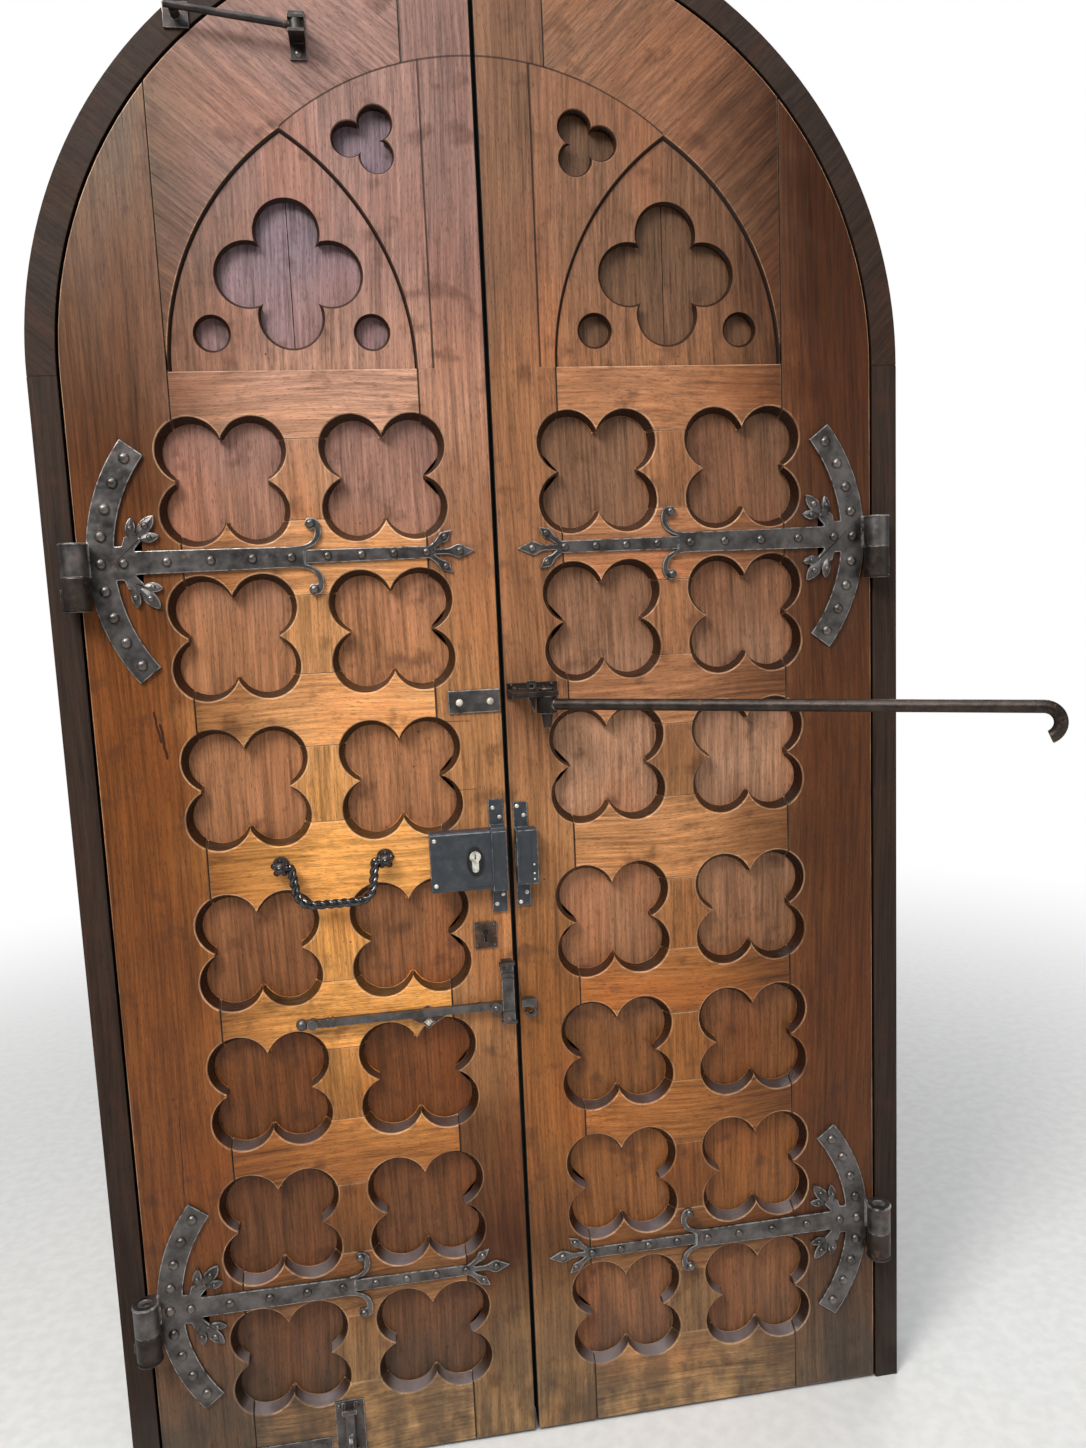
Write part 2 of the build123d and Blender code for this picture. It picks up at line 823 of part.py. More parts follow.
def lock_cylinder():
    body = on_face(cylinder_profile(), -lock_depth - cylinder_proud, -lock_wall)
    x, z = plug_centre()
    front_y = -lock_depth - cylinder_proud
    return body - rod_along_y(
        x, z, front_y - overcut, front_y + plug_depth + slide_clearance,
        plug_radius + pin_clearance,
    )


def lock_plug():
    x, z = plug_centre()
    front_y = -lock_depth - cylinder_proud
    plug = rod_along_y(x, z, front_y, front_y + plug_depth, plug_radius)
    half_width, half_height = keyway_width / 2, keyway_height / 2
    return plug - block(
        x - half_width, x + half_width, front_y - overcut, front_y + plug_depth / 2,
        z - half_height, z + half_height,
    )


def lock_bolt():
    return bolt_block(0, lock_right_x - lock_bolt_length, lock_right_x)


def lock_keeper():
    high_x = keeper_left_x + keeper_width
    half = lock_height / 2 - lock_wall
    low_z, high_z = lock_centre_z - half, lock_centre_z + half
    box = block(keeper_left_x, high_x, -lock_depth - lock_band_thickness, 0, low_z, high_z)
    hollow = block(
        keeper_left_x + lock_wall, high_x - lock_wall, -lock_depth, -lock_wall,
        low_z + lock_wall, high_z - lock_wall,
    )
    mouth = bolt_block(slide_clearance, keeper_left_x - overcut, keeper_left_x + lock_wall + overcut)
    ear_x = keeper_left_x + keeper_ear_width
    box = box - hollow - mouth
    ear_low, ear_high = low_z - lock_ear_height, high_z + lock_ear_height
    box = box + block(keeper_left_x, ear_x, -lock_ear_thickness, 0, high_z - overcut, ear_high)
    return box + block(keeper_left_x, ear_x, -lock_ear_thickness, 0, ear_low, low_z + overcut)


def keyhole_plate():
    x, z = keyhole_plate_x, keyhole_plate_z
    plate = Pos(x, z) * Rectangle(keyhole_plate_width, keyhole_plate_height)
    half = keyhole_slot_width / 2
    hole = Pos(x, z + keyhole_radius) * Circle(keyhole_radius)
    hole = hole + span(x - half, x + half, z - keyhole_slot_drop, z + keyhole_radius)
    return on_face(plate - hole, -keyhole_plate_thickness, 0)


def latch_bar():
    """Bar that pivots at its ball end and drops into the catch."""
    back_y = -latch_bar_standoff
    front_y = back_y - latch_bar_thickness
    half = latch_bar_height / 2
    bar = block(latch_pivot_x - latch_ball_offset, latch_bar_end_x, front_y, back_y,
                latch_z - half, latch_z + half)
    middle_y = (front_y + back_y) / 2
    ball = Pos(latch_pivot_x - latch_ball_offset, middle_y, latch_z) * Sphere(latch_ball_radius)
    ball = ball & block(
        latch_pivot_x - latch_ball_offset - latch_ball_radius, latch_pivot_x,
        front_y - latch_ball_radius, -seat_gap,
        latch_z - latch_ball_radius, latch_z + latch_ball_radius,
    )
    knob = rod_along_y(latch_knob_x, latch_z, front_y - latch_knob_length, middle_y, latch_knob_radius)
    hole = rod_along_y(
        latch_pivot_x, latch_z, front_y - latch_ball_radius, overcut,
        latch_pivot_radius + pin_clearance,
    )
    return bar + ball + knob - hole


def latch_pivot():
    """Headed pin with a collar that keeps the bar off the boards."""
    back_y = -latch_bar_standoff
    front_y = back_y - latch_bar_thickness
    pin = rod_along_y(latch_pivot_x, latch_z, front_y - seat_gap - overcut, 0, latch_pivot_radius)
    collar = rod_along_y(latch_pivot_x, latch_z, back_y + seat_gap, 0, latch_collar_radius)
    head_y = front_y - seat_gap
    head = rod_along_y(latch_pivot_x, latch_z, head_y - latch_pivot_head, head_y, latch_pivot_head_radius)
    return pin + collar + head


def latch_guide():
    """Upright staple in which the bar rises and falls."""
    low_x = latch_bar_end_x - latch_guide_width
    wall = latch_guide_thickness
    inner_y = -latch_bar_standoff - latch_bar_thickness - latch_guide_clearance
    guide = block(low_x, latch_bar_end_x, inner_y - wall, 0, latch_guide_foot_z, latch_guide_top_z)
    slot_low = latch_z - latch_bar_height / 2 - seat_gap
    slot_high = latch_guide_top_z - latch_guide_width
    return guide - block(
        low_x - overcut, latch_bar_end_x + overcut, inner_y, overcut, slot_low, slot_high
    )


def latch_rose():
    """Diamond plate and square nut of the lifting spindle."""
    x, z = latch_rose_x, latch_rose_z
    plate = make_face(Polyline(
        (x - latch_rose_half_width, z), (x, z - latch_rose_drop),
        (x + latch_rose_half_width, z), (x, z + latch_rose_drop), close=True,
    ))
    nut = Pos(x, z - latch_rose_drop / 2) * Rot(0, 0, 45) * Rectangle(latch_nut_size, latch_nut_size)
    return on_face(plate, -latch_rose_thickness, 0) + on_face(nut, -latch_bar_standoff + seat_gap, 0)


def latch_catch():
    """Tongue on the right leaf in line with the bar, over a small hook."""
    back_y = -latch_bar_standoff
    front_y = back_y - latch_bar_thickness
    half = latch_bar_height / 2
    tongue = block(catch_left_x, catch_right_x, front_y, back_y, latch_z - half, latch_z + half)
    foot = block(
        catch_left_x + catch_foot_inset, catch_right_x - catch_foot_inset, back_y - overcut, 0,
        latch_z - half, latch_z + half,
    )
    centre = (catch_right_x - catch_hook_radius - catch_hook_bar, latch_z - half - catch_hook_radius)
    curl = ring_sector(
        centre, catch_hook_radius - catch_hook_bar / 2, catch_hook_radius + catch_hook_bar,
        catch_hook_start, catch_hook_end,
    )
    return tongue + foot + on_face(curl, front_y, back_y)


def handle_bail():
    """Drop handle: two arms and a bar, bent from one round rod."""
    y = -handle_standoff
    low_z = handle_z - handle_drop
    inset = rosette_boss_radius + handle_bar_radius + 2 * seat_gap
    points = [
        (handle_left_x + inset, y, handle_z),
        (handle_left_x + inset + handle_splay, y, low_z),
        (handle_right_x - inset - handle_splay, y, low_z),
        (handle_right_x - inset, y, handle_z),
    ]
    path = FilletPolyline(*points, radius=handle_bend_radius)
    start = Plane(origin=points[0], z_dir=path % 0)
    bail = sweep(start * Circle(handle_bar_radius), path=path)
    for x in (handle_left_x, handle_right_x):
        toward = inset if x == handle_left_x else -inset
        low, high = sorted((x, x + toward))
        bail = bail + rod_along_x(low, high, y, handle_z, handle_pin_radius)
        bail = bail + Pos(x + toward, y, handle_z) * Sphere(handle_bar_radius)
    return bail


def handle_rosettes():
    """Turned studs whose bores carry the handle's ends."""
    rosettes = []
    for x, side in ((handle_left_x, 1), (handle_right_x, -1)):
        base = rod_along_y(x, handle_z, -rosette_base, 0, rosette_radius)
        stem = rod_along_y(x, handle_z, -handle_standoff, 0, rosette_stem_radius)
        head = Pos(x, -handle_standoff, handle_z) * Sphere(rosette_boss_radius)
        bore_end = x + side * (rosette_boss_radius + overcut)
        low, high = sorted((x - side * slide_clearance, bore_end))
        bore = rod_along_x(low, high, -handle_standoff, handle_z, handle_pin_radius + pin_clearance)
        rosettes.append(base + stem + head - bore)
    return rosettes


def hasp_plate():
    half = hasp_height / 2
    plate = on_face(span(hasp_left_x, hasp_right_x, hasp_z - half, hasp_z + half), -hasp_thickness, 0)
    return chamfer(plate.edges().group_by(Axis.Y)[0], hasp_chamfer)


def stay_bracket():
    """Back plate with a shelf that the stay's pin hangs in."""
    half = stay_plate_height / 2
    plate = block(
        stay_plate_left_x, stay_plate_right_x, -hasp_thickness, 0,
        stay_shelf_z - half, stay_shelf_z + half,
    )
    reach_y = stay_pin_y - stay_eye_radius
    shelf = block(
        stay_plate_left_x, stay_shelf_right_x, reach_y, 0,
        stay_shelf_z - stay_shelf_thickness / 2, stay_shelf_z + stay_shelf_thickness / 2,
    )
    shelf = shelf - upright_rod(
        stay_pin_x, stay_pin_y, stay_shelf_z - half, stay_shelf_z + half, stay_pin_radius
    )
    half_slot = wedge_width / 2
    slot = block(
        wedge_x - half_slot, wedge_x + half_slot,
        stay_pin_y - wedge_thickness / 2, stay_pin_y + wedge_thickness / 2,
        stay_shelf_z - half, stay_shelf_z + half,
    )
    return plate + shelf - slot


def stay_eye_top_z():
    return stay_shelf_z - stay_shelf_thickness / 2 - seat_gap


def stay_pin():
    """Pin with a round head on the shelf and a swollen foot under the eye."""
    eye_foot = stay_eye_top_z() - stay_eye_height
    shelf_top = stay_shelf_z + stay_shelf_thickness / 2
    foot_high = eye_foot - seat_gap
    pin = upright_rod(stay_pin_x, stay_pin_y, foot_high - overcut, shelf_top + overcut, stay_pin_radius)
    head = upright_rod(
        stay_pin_x, stay_pin_y, shelf_top, shelf_top + stay_pin_head, stay_pin_head_radius
    )
    foot = Pos(stay_pin_x, stay_pin_y, foot_high - stay_pin_foot / 2) * Cone(
        stay_pin_tail_radius, stay_pin_foot_radius, stay_pin_foot
    )
    return pin + head + foot


def stay_bar():
    """Round bar with an eye on the pin and a hook at its far end."""
    middle_z = stay_eye_top_z() - stay_eye_height / 2
    eye = Cylinder(stay_eye_radius, stay_eye_height)
    hook_x = stay_bar_length - stay_hook_radius
    rod = rod_along_x((stay_pin_radius + stay_eye_radius) / 2, hook_x, 0, 0, stay_bar_radius)
    bore = Cylinder(stay_pin_radius + pin_clearance, stay_eye_height + 2 * overcut)
    ends = []
    for share in (0, 0.5, 1):
        turn = radians(stay_hook_sweep * share)
        ends.append((hook_x + stay_hook_radius * sin(turn), 0, stay_hook_radius * (cos(turn) - 1)))
    path = ThreePointArc(*ends)
    start = Plane(origin=(hook_x, 0, 0), z_dir=(1, 0, 0))
    hook = sweep(start * Circle(stay_bar_radius), path=path)
    bar = eye + rod - bore + hook
    return Pos(stay_pin_x, stay_pin_y, middle_z) * Rot(0, 0, stay_bar_angle) * bar


def stay_wedge():
    """Flat key through the shelf, with a pointed tail."""
    half = wedge_width / 2
    top_z = stay_shelf_z + stay_shelf_thickness / 2 + wedge_rise
    tail_z = stay_shelf_z - stay_shelf_thickness / 2
    outline = make_face(Polyline(
        (wedge_x - half, top_z), (wedge_x + half, top_z), (wedge_x + half, tail_z),
        (wedge_x + half / 2, tail_z - wedge_drop), (wedge_x - half, tail_z), close=True,
    ))
    window = Pos(wedge_x, top_z - wedge_rise / 2) * Rectangle(wedge_window_width, wedge_window_height)
    return on_face(outline - window, stay_pin_y - wedge_thickness / 2, stay_pin_y + wedge_thickness / 2)


def head_stay_place():
    x, z = on_arch(door_half_width - head_stay_inset, head_stay_angle)
    return -x, z


def head_rest_place():
    x, z = on_arch(door_half_width + frame_gap + frame_face_width / 2, head_rest_angle)
    return -x, z


def head_pin_y():
    return head_plate_width / 2 - head_fork_depth


def head_stay_bracket():
    """Screwed plate with two cheeks and a pin for the head stay's arm."""
    half = head_plate_width / 2
    x, z = head_stay_place()
    plate = block(
        x - half, x + half, -head_plate_thickness, 0,
        z - head_plate_half_height, z + head_plate_half_height,
    )
    cheek = head_eye_half_height + seat_gap
    reach = cheek + head_plate_thickness
    for low in (z + cheek, z - reach):
        plate = plate + block(x - half, x + half, -head_fork_depth, 0, low, low + head_plate_thickness)
    return plate + upright_rod(x, head_pin_y(), z - reach, z + reach, head_pin_radius)


def head_stay_arm():
    """Arm from the bracket to the frame's head, where it rests."""
    x, z = head_stay_place()
    rest_x, rest_z = head_rest_place()
    length = hypot(rest_x - x, rest_z - z) + head_rod_overhang
    rise = degrees(atan2(rest_z - z, x - rest_x))
    eye = Cylinder(head_eye_radius, 2 * head_eye_half_height)
    bore = Cylinder(head_pin_radius + pin_clearance, 2 * (head_eye_half_height + overcut))
    rod = rod_along_x(-length, -(head_pin_radius + head_eye_radius) / 2, 0, 0, head_rod_radius)
    return Pos(x, head_pin_y(), z) * (eye + Rot(0, rise, 0) * rod - bore)


def head_stay_rest():
    """Small plate on the frame's head behind the arm's free end."""
    x, z = head_rest_place()
    half = head_rest_size / 2
    back = block(x - half, x + half, -head_plate_thickness, 0, z - half, z + half)
    nose_y = head_pin_y() + head_rod_radius + seat_gap
    return back + rod_along_y(x, z, nose_y, 0, head_rest_nose_radius)


def foot_plate():
    """Plate and two staples that guide the foot bolt."""
    half = foot_plate_width / 2
    high_z = foot_plate_foot_z + foot_plate_height
    plate = block(
        foot_bolt_x - half, foot_bolt_x + half, -foot_plate_thickness, 0, foot_plate_foot_z, high_z
    )
    inner = foot_rod_size / 2 + slide_clearance
    outer = inner + foot_staple_wall
    front_y = -foot_plate_thickness - 2 * slide_clearance - foot_rod_size
    low_staple = foot_plate_foot_z + foot_staple_inset
    high_staple = high_z - foot_staple_inset - foot_staple_width
    for low_z in (low_staple, high_staple):
        staple = block(
            foot_bolt_x - outer, foot_bolt_x + outer, front_y - foot_staple_wall,
            -foot_plate_thickness, low_z, low_z + foot_staple_width,
        )
        plate = plate + staple - block(
            foot_bolt_x - inner, foot_bolt_x + inner, front_y, -foot_plate_thickness,
            low_z - overcut, low_z + foot_staple_width + overcut,
        )
    return plate


def foot_bolt():
    """Square shoot with a ring pull; it slides up."""
    half = foot_rod_size / 2
    back_y = -foot_plate_thickness - slide_clearance
    front_y = back_y - foot_rod_size
    rod = block(
        foot_bolt_x - half, foot_bolt_x + half, front_y, back_y,
        leaf_foot_z, leaf_foot_z + foot_rod_length,
    )
    bar = foot_pull_bar / 2
    ring = ring_sector((0, 0), foot_pull_radius - bar, foot_pull_radius + bar, -90, 90)
    pull_origin = (foot_bolt_x, front_y + overcut, leaf_foot_z + foot_pull_rise)
    plane = Plane(origin=pull_origin, x_dir=(0, -1, 0), z_dir=(1, 0, 0))
    return rod + extrude(plane * ring, amount=bar, both=True)


def kick_strip():
    half = kick_strip_height / 2
    right_x = foot_bolt_x - foot_plate_width / 2 - kick_strip_gap
    region = span(right_x - kick_strip_width, right_x, kick_strip_z - half, kick_strip_z + half)
    return on_face(region, -foot_plate_thickness, 0)


def build_timber(nodes):
    outline = leaf_outline()
    cutters = foil_cutters()
    singles = {
        "hinge_stile": hinge_stile(outline, cutters),
        "meeting_stile": meeting_stile(outline, cutters),
        "arch_rail": arch_rail(outline),
        "tympanum_panel": tympanum_panel(),
    }
    groups = {
        "rails": rails(cutters),
        "muntins": muntins(cutters),
        "boards": boards(outline),
    }
    for name, piece in singles.items():
        nodes[f"right_{name}"] = piece
        nodes[f"left_{name}"] = to_left(piece)
    for name, pieces in groups.items():
        nodes[f"right_{name}"] = Compound(children=pieces)
        nodes[f"left_{name}"] = Compound(children=[to_left(piece) for piece in pieces])


def build_frame_and_hinges(nodes):
    frame_pieces = {"jamb": jamb(), "head": frame_head()}
    for name, piece in frame_pieces.items():
        nodes[f"frame_{name}_right"] = piece
        nodes[f"frame_{name}_left"] = to_left(piece)
    for level, axis_z in (("upper", upper_strap_z), ("lower", lower_strap_z)):
        strap, pin = strap_hinge(axis_z), pintle(axis_z)
        nodes[f"strap_{level}_right"] = strap
        nodes[f"strap_{level}_left"] = to_left(strap)
        nodes[f"pintle_{level}_right"] = pin
        nodes[f"pintle_{level}_left"] = to_left(pin)


def build_ironwork(nodes):
    nodes["lock_case"] = lock_case()
    nodes["lock_band"] = lock_band()
    nodes["lock_cylinder"] = lock_cylinder()
    nodes["lock_plug"] = lock_plug()
    nodes["lock_bolt"] = lock_bolt()
    nodes["lock_keeper"] = lock_keeper()
    nodes["keyhole_plate"] = keyhole_plate()
    nodes["latch_bar"] = latch_bar()
    nodes["latch_pivot"] = latch_pivot()
    nodes["latch_guide"] = latch_guide()
    nodes["latch_rose"] = latch_rose()
    nodes["latch_catch"] = latch_catch()
    nodes["handle_bail"] = handle_bail()
    nodes["handle_rosettes"] = Compound(children=handle_rosettes())
    nodes["hasp_plate"] = hasp_plate()
    nodes["stay_bracket"] = stay_bracket()
    nodes["stay_pin"] = stay_pin()
    nodes["stay_bar"] = stay_bar()
    nodes["stay_wedge"] = stay_wedge()
    nodes["head_stay_bracket"] = head_stay_bracket()
    nodes["head_stay_arm"] = head_stay_arm()
    nodes["head_stay_rest"] = head_stay_rest()
    nodes["foot_plate"] = foot_plate()
    nodes["foot_bolt"] = foot_bolt()
    nodes["kick_strip"] = kick_strip()


nodes = {}
build_timber(nodes)
build_frame_and_hinges(nodes)
build_ironwork(nodes)
os.makedirs("parts", exist_ok=True)
for node_name, shape in nodes.items():
    export_step(shape, f"parts/{node_name}.step")
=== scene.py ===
from math import cos, hypot, pi, radians, sin, sqrt, tan
from random import Random

import bmesh
import bpy
from mathutils import Matrix, Vector


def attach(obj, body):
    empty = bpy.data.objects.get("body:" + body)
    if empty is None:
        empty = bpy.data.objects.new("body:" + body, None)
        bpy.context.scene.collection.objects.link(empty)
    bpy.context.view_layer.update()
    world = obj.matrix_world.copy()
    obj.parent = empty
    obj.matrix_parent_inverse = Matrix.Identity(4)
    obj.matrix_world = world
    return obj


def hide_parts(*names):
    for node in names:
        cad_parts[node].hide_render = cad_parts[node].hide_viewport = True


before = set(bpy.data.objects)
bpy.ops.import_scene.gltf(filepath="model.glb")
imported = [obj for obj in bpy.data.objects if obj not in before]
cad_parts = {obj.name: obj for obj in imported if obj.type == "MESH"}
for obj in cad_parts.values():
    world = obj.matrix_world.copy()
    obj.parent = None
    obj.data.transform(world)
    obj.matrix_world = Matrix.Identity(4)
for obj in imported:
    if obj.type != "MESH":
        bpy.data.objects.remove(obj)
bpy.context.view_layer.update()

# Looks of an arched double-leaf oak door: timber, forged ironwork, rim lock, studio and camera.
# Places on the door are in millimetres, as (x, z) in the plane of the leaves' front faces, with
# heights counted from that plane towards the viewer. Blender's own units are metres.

MM = 0.001

# Door
DOOR_HALF_WIDTH = 596
ARCH_CENTRE_Z = 1716
HINGE_AXIS_HEIGHT = 22

# Strap hinges, as in the frame
STRAP_LEVELS = {"upper": 1456, "lower": 309}
STRAP_THICKNESS = 6
STRAP_TAIL_THICKNESS = 4.5
CRESCENT_RADIUS = 264
CRESCENT_MIDDLE_X = 564
CRESCENT_RIVET_STEP = 8.4
CRESCENT_RIVET_RADIUS = 8.0
STRAP_RIVETS = (533, 474, 413, 355, 300)
STRAP_RIVET_RADIUS = 7.0
TAIL_RIVETS = (248, 199, 152, 104)
TAIL_RIVET_RADIUS = 6.2
FLEUR_RIVETS = ((54.5, 0, 5.8), (76, 21.5, 5.2), (76, -21.5, 5.2))
SCROLL_BALL = (270, 47.5)
SPRAY_HUB = (513, 36)
SPRAY_LEAVES = (
    ((9, -3), (5, 28), 6.4), ((0, 0), (-26, 30), 8.2), ((-4, -3), (-31.5, 1), 6.4),
)

# Drop handle, as in the frame
HANDLE_ENDS = (-347, -192)
HANDLE_Z = 1000
HANDLE_STANDOFF = 24
HANDLE_INSET = 15.6
HANDLE_SPLAY = 8
HANDLE_DROP = 60
HANDLE_BEND = 26
BEND_STEPS = 12
ROPE_STRANDS = 3
ROPE_LAY = 38
ROPE_STEP = 1.0
ROPE_STRAND_RADIUS = 3.65
ROPE_STRAND_OFFSET = 3.55
ROSETTE_BEADS = 5
ROSETTE_RADIUS = 9.6

# Camera, fitted to the cusps of the quatrefoils
PHOTO_FOCAL_PX = 1095.2
PHOTO_HEIGHT_PX = 1448
CAMERA_PLACE = (-0.1962, -1.6509, 1.4041)
CAMERA_AZIMUTH = 8.824
CAMERA_PITCH = -7.358
CAMERA_ROLL = -2.45


def srgb(red, green, blue):
    """Linear colour of a screen colour given from 0 to 255."""
    def linear(value):
        share = value / 255
        return share / 12.92 if share <= 0.04045 else ((share + 0.055) / 1.055) ** 2.4

    return (linear(red), linear(green), linear(blue), 1.0)


def dimmed(colour, share):
    """Linear colour of a screen colour whose values are taken times a share."""
    return srgb(*[value * share for value in colour])


def point(x, height, z):
    return Vector((x * MM, -height * MM, z * MM))


def new_object(name, data):
    obj = bpy.data.objects.new(name, data)
    bpy.context.scene.collection.objects.link(obj)
    return obj


class Paint:
    """A material and short calls for its nodes."""

    def __init__(self, name):
        self.material = bpy.data.materials.new(name)
        self.material.use_nodes = True
        self.tree = self.material.node_tree
        self.shader = self.tree.nodes["Principled BSDF"]
        coordinates = self.add("ShaderNodeTexCoord").outputs
        self.place = coordinates["Object"]
        self.facing = coordinates["Normal"]

    def add(self, kind, **settings):
        node = self.tree.nodes.new(kind)
        for key, value in settings.items():
            setattr(node, key, value)
        return node

    def feed(self, node, index, value):
        if isinstance(value, bpy.types.NodeSocket):
            self.tree.links.new(value, node.inputs[index])
        else:
            node.inputs[index].default_value = value

    def math(self, operation, first, second=0.0, third=0.0, clamp=False):
        node = self.add("ShaderNodeMath", operation=operation, use_clamp=clamp)
        for index, value in enumerate((first, second, third)):
            self.feed(node, index, value)
        return node.outputs[0]

    def times(self, first, second, clamp=False):
        return self.math("MULTIPLY", first, second, clamp=clamp)

    def scaled(self, value, factor, offset, clamp=False):
        """Value times a factor, plus an offset."""
        return self.math("MULTIPLY_ADD", value, factor, offset, clamp)

    def minus(self, first, second):
        return self.math("SUBTRACT", first, second)

    def absolute(self, value):
        return self.math("ABSOLUTE", value)

    def larger(self, first, second):
        return self.math("MAXIMUM", first, second)

    def above(self, value, limit):
        return self.math("GREATER_THAN", value, limit)

    def below(self, value, limit):
        return self.math("LESS_THAN", value, limit)

    def span(self, value, low, high, to_low=0.0, to_high=1.0):
        """Value carried from one range to another, held at its ends."""
        node = self.add("ShaderNodeMapRange", interpolation_type="SMOOTHSTEP")
        for index, given in enumerate((value, low, high, to_low, to_high)):
            self.feed(node, index, given)
        return node.outputs[0]

    def stretch(self, vector, scale, turn=(0, 0, 0)):
        node = self.add("ShaderNodeMapping")
        self.feed(node, "Vector", vector)
        node.inputs["Scale"].default_value = scale
        node.inputs["Rotation"].default_value = turn
        return node.outputs[0]

    def shift(self, vector, amount):
        node = self.add("ShaderNodeVectorMath", operation="ADD")
        self.feed(node, 0, vector)
        self.feed(node, 1, amount)
        return node.outputs[0]

    def scale(self, vector, amount):
        node = self.add("ShaderNodeVectorMath", operation="SCALE")
        self.feed(node, 0, vector)
        self.feed(node, "Scale", amount)
        return node.outputs[0]

    def noise(self, vector, scale=1.0, detail=2.0, roughness=0.5, colour=False):
        node = self.add("ShaderNodeTexNoise")
        self.feed(node, "Vector", vector)
        node.inputs["Scale"].default_value = scale
        node.inputs["Detail"].default_value = detail
        node.inputs["Roughness"].default_value = roughness
        return node.outputs["Color" if colour else "Fac"]

    def cells(self, vector, scale):
        node = self.add("ShaderNodeTexVoronoi", feature="F1")
        self.feed(node, "Vector", vector)
        node.inputs["Scale"].default_value = scale
        return node

    def chance(self, value):
        node = self.add("ShaderNodeTexWhiteNoise", noise_dimensions="1D")
        self.feed(node, "W", value)
        return node.outputs["Value"]

    def axes(self, vector):
        node = self.add("ShaderNodeSeparateXYZ")
        self.feed(node, 0, vector)
        return node.outputs

    def mix(self, share, first, second, blend="MIX"):
        node = self.add("ShaderNodeMix", data_type="RGBA", blend_type=blend, clamp_factor=True)
        self.feed(node, 0, share)
        self.feed(node, 6, first)
        self.feed(node, 7, second)
        return node.outputs[2]

    def grey(self, value):
        node = self.add("ShaderNodeCombineColor")
        for index in range(3):
            self.feed(node, index, value)
        return node.outputs[0]

    def ramp(self, value, stops):
        node = self.add("ShaderNodeValToRGB")
        self.feed(node, 0, value)
        elements = node.color_ramp.elements
        while len(elements) < len(stops):
            elements.new(0.5)
        for element, (place, colour) in zip(elements, stops):
            element.position = place
            element.color = colour
        return node.outputs[0]

    def bump(self, height, strength, distance, under=None):
        node = self.add("ShaderNodeBump")
        node.inputs["Strength"].default_value = strength
        node.inputs["Distance"].default_value = distance
        self.feed(node, "Height", height)
        if under is not None:
            self.feed(node, "Normal", under)
        return node.outputs[0]

    def finish(self, colour, roughness, normal, metallic=0.0):
        self.feed(self.shader, "Base Color", colour)
        self.feed(self.shader, "Roughness", roughness)
        self.feed(self.shader, "Metallic", metallic)
        self.feed(self.shader, "Normal", normal)
        return self.material


# Timber: tones of old oak, as screen colours, some of which carry painted light
OAK_TONES = {
    "bleached": (180, 140, 95), "fawn": (175, 130, 100), "honey": (225, 156, 82),
    "straw": (215, 155, 100), "tan": (190, 132, 84), "hazel": (165, 112, 76),
    "amber": (160, 100, 50), "chestnut": (140, 87, 45), "walnut": (120, 75, 40),
    "russet": (113, 64, 28), "umber": (86, 48, 22), "soot": (44, 19, 4),
    "rose": (185, 138, 112), "plum": (148, 112, 100), "slate": (124, 104, 110),
    "cocoa": (134, 95, 70), "earth": (102, 74, 54), "ash": (105, 86, 68),
    "smoked": (51, 38, 30), "fumed": (57, 41, 31),
}
# Where they lie by height in metres, along the door's middle and along its outer edges. By height
# they carry painted light: the paler, bluer tones high up are a painted sky reflection and the warm
# tones at mid-height a painted glow, and the left leaf's lighter upper tones are a painted glare
# beside the right leaf's darker ones.
RAIL_TONES = {
    "left": ({
        0.00: "bleached", 0.34: "walnut", 0.53: "amber", 0.76: "honey", 1.00: "honey",
        1.23: "straw", 1.46: "tan", 1.67: "rose", 1.85: "plum",
    }, {0.00: "ash", 0.40: "russet", 1.28: "russet", 1.60: "umber", 2.30: "ash"}),
    "right": ({
        0.00: "bleached", 0.34: "walnut", 0.53: "amber", 0.76: "amber", 1.00: "tan",
        1.23: "hazel", 1.67: "hazel", 1.85: "cocoa",
    }, {0.00: "ash", 0.30: "umber", 1.00: "umber", 2.30: "soot"}),
}
BOARD_TONES = {
    "left": ({0.00: "earth", 0.65: "russet", 1.12: "hazel", 1.34: "hazel", 1.90: "slate"},),
    "right": ({
        0.00: "cocoa", 0.42: "chestnut", 0.65: "walnut", 1.12: "fawn", 1.34: "cocoa",
        1.90: "earth",
    },),
}
MEETING_TONES = {
    "left": ({
        0.00: "bleached", 0.34: "umber", 0.53: "walnut", 0.76: "tan", 1.23: "tan",
        1.46: "hazel", 1.67: "rose", 1.85: "plum",
    }, RAIL_TONES["left"][1]),
    "right": RAIL_TONES["right"],
}
FRAME_TONES = ({0.00: "smoked", 1.20: "fumed", 2.35: "smoked"},)
MIDDLE_REACH = (0.24, 0.52)

# Timber: other colours
# The arris colour is wear with a painted highlight on the arrises.
# The dust colour is dust with a painted sky sheen, paler and bluer, for the low ledges of the
# openings.
# The gap colour is a painted shade for the meeting edges of the leaves.
# The groove colour is a painted shade round the lancet, and the dark of the joint under the ring.
# The lip colour is a painted shade for the arrises inside the openings, between the face and the
# lip.
# The reveal colour is a painted shade for the sides of the openings.
OAK = {name: srgb(*colour) for name, colour in {
    "arris": (220, 180, 142), "red": (255, 218, 190), "stain": (66, 40, 28), "pore": (46, 24, 14),
    "knot": (34, 20, 14), "scratch": (30, 17, 12), "joint": (30, 17, 11), "lancet_shade_and_ring_joint": (38, 21, 13),
    "grime": (64, 58, 52), "reveal_shade": (30, 16, 10), "dust": (138, 124, 122), "lip": (40, 24, 15),
    "gap": (10, 8, 7),
}.items()}
OAK_SPECULAR = 0.22
OAK_GLOSS = 0.38
BOARD_GLOSS = 0.42
FRAME_GLOSS = 0.72

